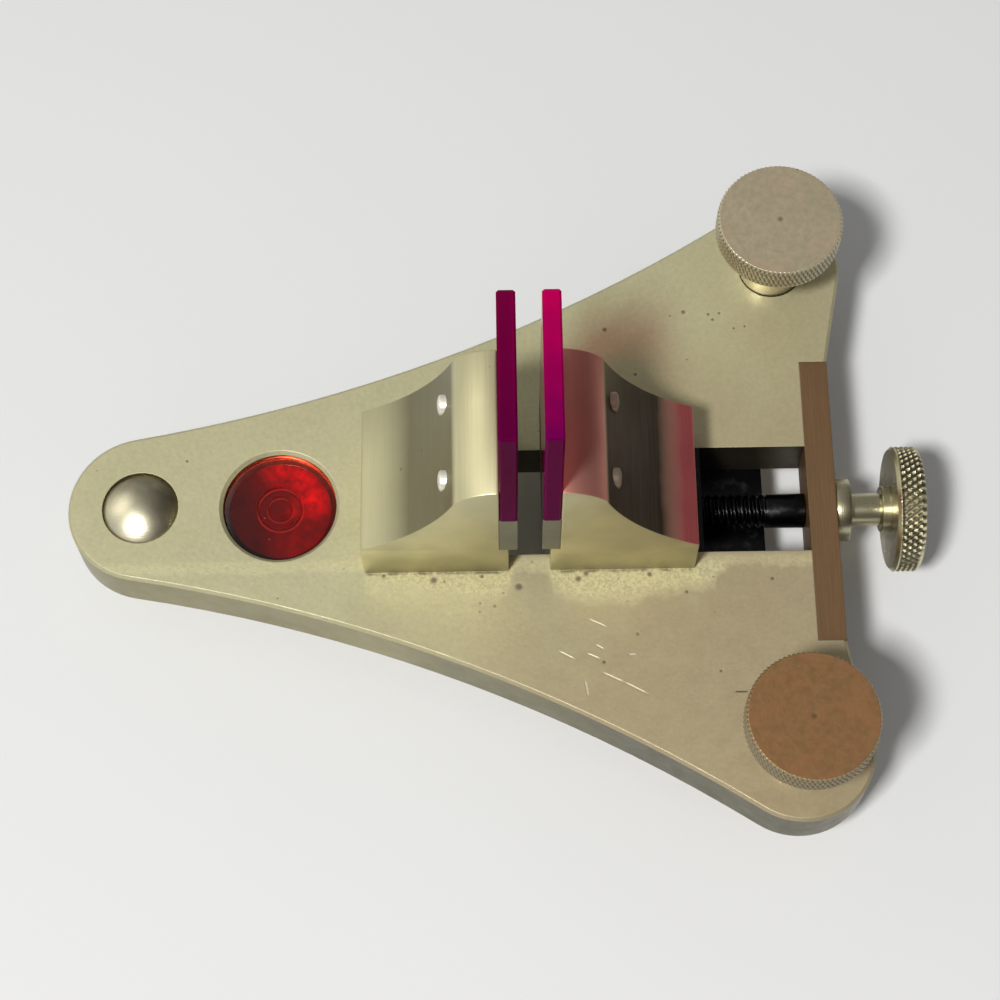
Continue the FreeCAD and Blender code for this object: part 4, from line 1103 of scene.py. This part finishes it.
class POISING_OT_small_screws(bpy.types.Operator):
    """Set the slotted screws of the end plate, the fixed jaw and the keeper"""
    bl_idname = "poising.small_screws"
    bl_label = "Small screws"

    def execute(self, context):
        sizes = context.scene.tool_sizes
        tree = screw_tree()
        steel = metal_finish("small_screws", (0.48, 0.47, 0.46), 0.28, cloud=0.2)
        for node, body, turn in (("end_plate_screws", "base", (0.0, -QUARTER, 0.0)),
                                 ("fixed_jaw_screws", "base", (0.0, 0.0, 0.0)),
                                 ("keeper_screws", "slider", (0.0, 0.0, 0.0))):
            low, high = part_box(node)
            head, shank, thick, slot_depth = 1.8 * MM, 1.0 * MM, 1.2 * MM, 0.5 * MM
            sideways = turn[1] != 0
            length = high.x - low.x if sideways else high.z - low.z
            profile = eased([(0.0, 0.0), (0.0, head), (thick, head), (thick, shank), (length, shank),
                             (length, 0.0)], sizes.edge_round * 1.4)
            where = ((high.x, low.y + head, (low.z + high.z) / 2) if sideways
                     else ((low.x + high.x) / 2, low.y + head, low.z))
            mesh = grown(node + "_set", turned_mesh("screw", profile, 32), tree, **{
                "Slot width": sizes.slot_width, "Slot depth": slot_depth, "Head radius": head, "Count": 2,
                "Spacing": (0.0, high.y - low.y - 2 * head, 0.0), "Slot turn": 1.1,
                "Place": where, "Turn": turn, "Finish": steel.material})
            place(node + "_slotted", mesh, body, "small_screws", node)
        return {"FINISHED"}


class POISING_OT_stage(bpy.types.Operator):
    """Set the floor, the lamp, the world and the camera"""
    bl_idname = "poising.stage"
    bl_label = "Stage"

    def execute(self, context):
        settings = context.scene.tool_stage
        context.scene.view_settings.view_transform = "Standard"
        self.floor(settings)
        self.world(context)
        near_left = (-0.21, -0.28, 0.644)
        self.lamp("key_lamp", settings.key_power, settings.key_size, near_left)
        self.camera(context, settings)
        return {"FINISHED"}

    @staticmethod
    def floor(settings):
        """Pale disc that keeps the shadow near the tool and fades into the backdrop away from it."""
        fade_start, fade_end, floor_radius = 0.14, 0.5, 3.0
        mesh = bpy.data.meshes.new("floor")
        made = bmesh.new()
        bmesh.ops.create_circle(made, cap_ends=True, segments=96, radius=floor_radius)
        made.to_mesh(mesh)
        made.free()
        floor = bpy.data.objects.new("floor", mesh)
        bpy.context.scene.collection.objects.link(floor)
        paper = Finish("floor", metallic=0.0, Roughness=0.85)
        paper.shader.inputs["Specular IOR Level"].default_value = 0.1
        paper.link("Base Color", blend(paper.tree, paper.noise(30, 2), settings.floor,
                                       Vector(settings.floor) * 0.985))
        tree = paper.tree
        away = add(tree, "ShaderNodeVectorMath", {0: paper.point}, operation="LENGTH").outputs["Value"]
        seen = add(tree, "ShaderNodeLightPath").outputs["Is Camera Ray"]
        pale = add(tree, "ShaderNodeEmission", {"Color": (*BACKDROP, 1.0), "Strength": 1.0})
        both = add(tree, "ShaderNodeMixShader", {
            0: times(tree, seen, spread(tree, away, fade_start, fade_end)),
            1: paper.shader.outputs[0], 2: pale.outputs[0]})
        tree.links.new(both.outputs[0], tree.nodes["Material Output"].inputs["Surface"])
        mesh.materials.append(paper.material)

    @staticmethod
    def world(context):
        """Even light for the floor; metal and glass mirror a room, paler on the left, with a window."""
        world = bpy.data.worlds.new("studio")
        context.scene.world = world
        world.use_nodes = True
        tree = world.node_tree
        tree.nodes.clear()
        way = add(tree, "ShaderNodeTexCoord").outputs["Generated"]
        x, y, z = add(tree, "ShaderNodeSeparateXYZ", {0: way}).outputs
        side = calc(tree, "ADD", x, times(tree, y, -0.2))
        room = blend(tree, spread(tree, side, -0.6, 0.0), (0.42, 0.42, 0.41), (0.30, 0.30, 0.30))
        room = blend(tree, spread(tree, side, 0.0, 0.5), room, (0.04, 0.04, 0.04))
        window = add(tree, "ShaderNodeVectorMath", {0: way, 1: (-0.66, 0.40, 0.64)}, operation="DISTANCE")
        room = blend(tree, spread(tree, window.outputs["Value"], 0.45, 0.1), room, (2.2, 2.17, 2.05))
        room = blend(tree, spread(tree, z, 0.1, -0.2), room, (0.36, 0.36, 0.36))
        path = add(tree, "ShaderNodeLightPath").outputs
        mirrored = calc(tree, "MAXIMUM", path["Is Glossy Ray"], path["Is Transmission Ray"])
        colour = blend(tree, mirrored, (0.25, 0.25, 0.25), room)
        colour = blend(tree, path["Is Camera Ray"], colour, BACKDROP)
        light = add(tree, "ShaderNodeBackground", {"Color": colour, "Strength": 1.0})
        out = add(tree, "ShaderNodeOutputWorld")
        tree.links.new(light.outputs[0], out.inputs[0])

    @staticmethod
    def lamp(name, power, size, where):
        light = bpy.data.lights.new(name, "AREA")
        light.energy, light.size = power, size
        lamp = bpy.data.objects.new(name, light)
        bpy.context.scene.collection.objects.link(lamp)
        lamp.location = where
        lamp.rotation_euler = (-Vector(where)).to_track_quat("-Z", "Y").to_euler()

    @staticmethod
    def camera(context, settings):
        """The photograph's viewpoint, turned to the middle of the tool."""
        data = bpy.data.cameras.new("camera")
        data.lens, data.sensor_width = settings.lens, 36.0
        data.clip_start, data.clip_end = 0.01, 20.0
        camera = bpy.data.objects.new("camera", data)
        context.scene.collection.objects.link(camera)
        eye, aim = Vector((0.33, -87.04, 222.41)) * MM, Vector((0.5, 1.5, 9.0)) * MM
        ahead = (aim - eye).normalized()
        # The photograph is turned a little about the line of sight
        right = Vector((0.99977, -0.00824, -0.01992))
        right = (right - ahead * right.dot(ahead)).normalized()
        up = right.cross(ahead)
        turn = Matrix((right, up, -ahead)).transposed()
        camera.matrix_world = Matrix.Translation(eye) @ turn.to_4x4()
        context.scene.camera = camera


class POISING_PT_panel(bpy.types.Panel):
    """Steps that dress the tool, in order"""
    bl_label = "Poising tool"
    bl_idname = "POISING_PT_panel"
    bl_space_type = "VIEW_3D"
    bl_region_type = "UI"
    bl_category = "Poising tool"

    def draw(self, context):
        for operator in OPERATORS:
            self.layout.operator(operator.bl_idname)
        for group in (context.scene.tool_sizes, context.scene.tool_colours, context.scene.tool_stage):
            box = self.layout.box()
            for name in type(group).__annotations__:
                box.prop(group, name)


OPERATORS = (POISING_OT_stage, POISING_OT_plate, POISING_OT_jaws, POISING_OT_nose, POISING_OT_level,
             POISING_OT_levelling_screws, POISING_OT_adjusting_screw, POISING_OT_small_screws)
GROUPS = (ToolSizes, ToolColours, ToolStage)


def register():
    for item in GROUPS + OPERATORS + (POISING_PT_panel,):
        bpy.utils.register_class(item)
    bpy.types.Scene.tool_sizes = bpy.props.PointerProperty(type=ToolSizes)
    bpy.types.Scene.tool_colours = bpy.props.PointerProperty(type=ToolColours)
    bpy.types.Scene.tool_stage = bpy.props.PointerProperty(type=ToolStage)


def unregister():
    for name in ("tool_sizes", "tool_colours", "tool_stage"):
        delattr(bpy.types.Scene, name)
    for item in reversed(GROUPS + OPERATORS + (POISING_PT_panel,)):
        bpy.utils.unregister_class(item)


def main():
    """Dress the tool in order."""
    register()
    for operator in OPERATORS:
        call = getattr(bpy.ops.poising, operator.bl_idname.split(".")[1])
        if call() != {"FINISHED"}:
            raise RuntimeError("%s did not finish" % operator.bl_label)


if __name__ == "__main__":
    main()
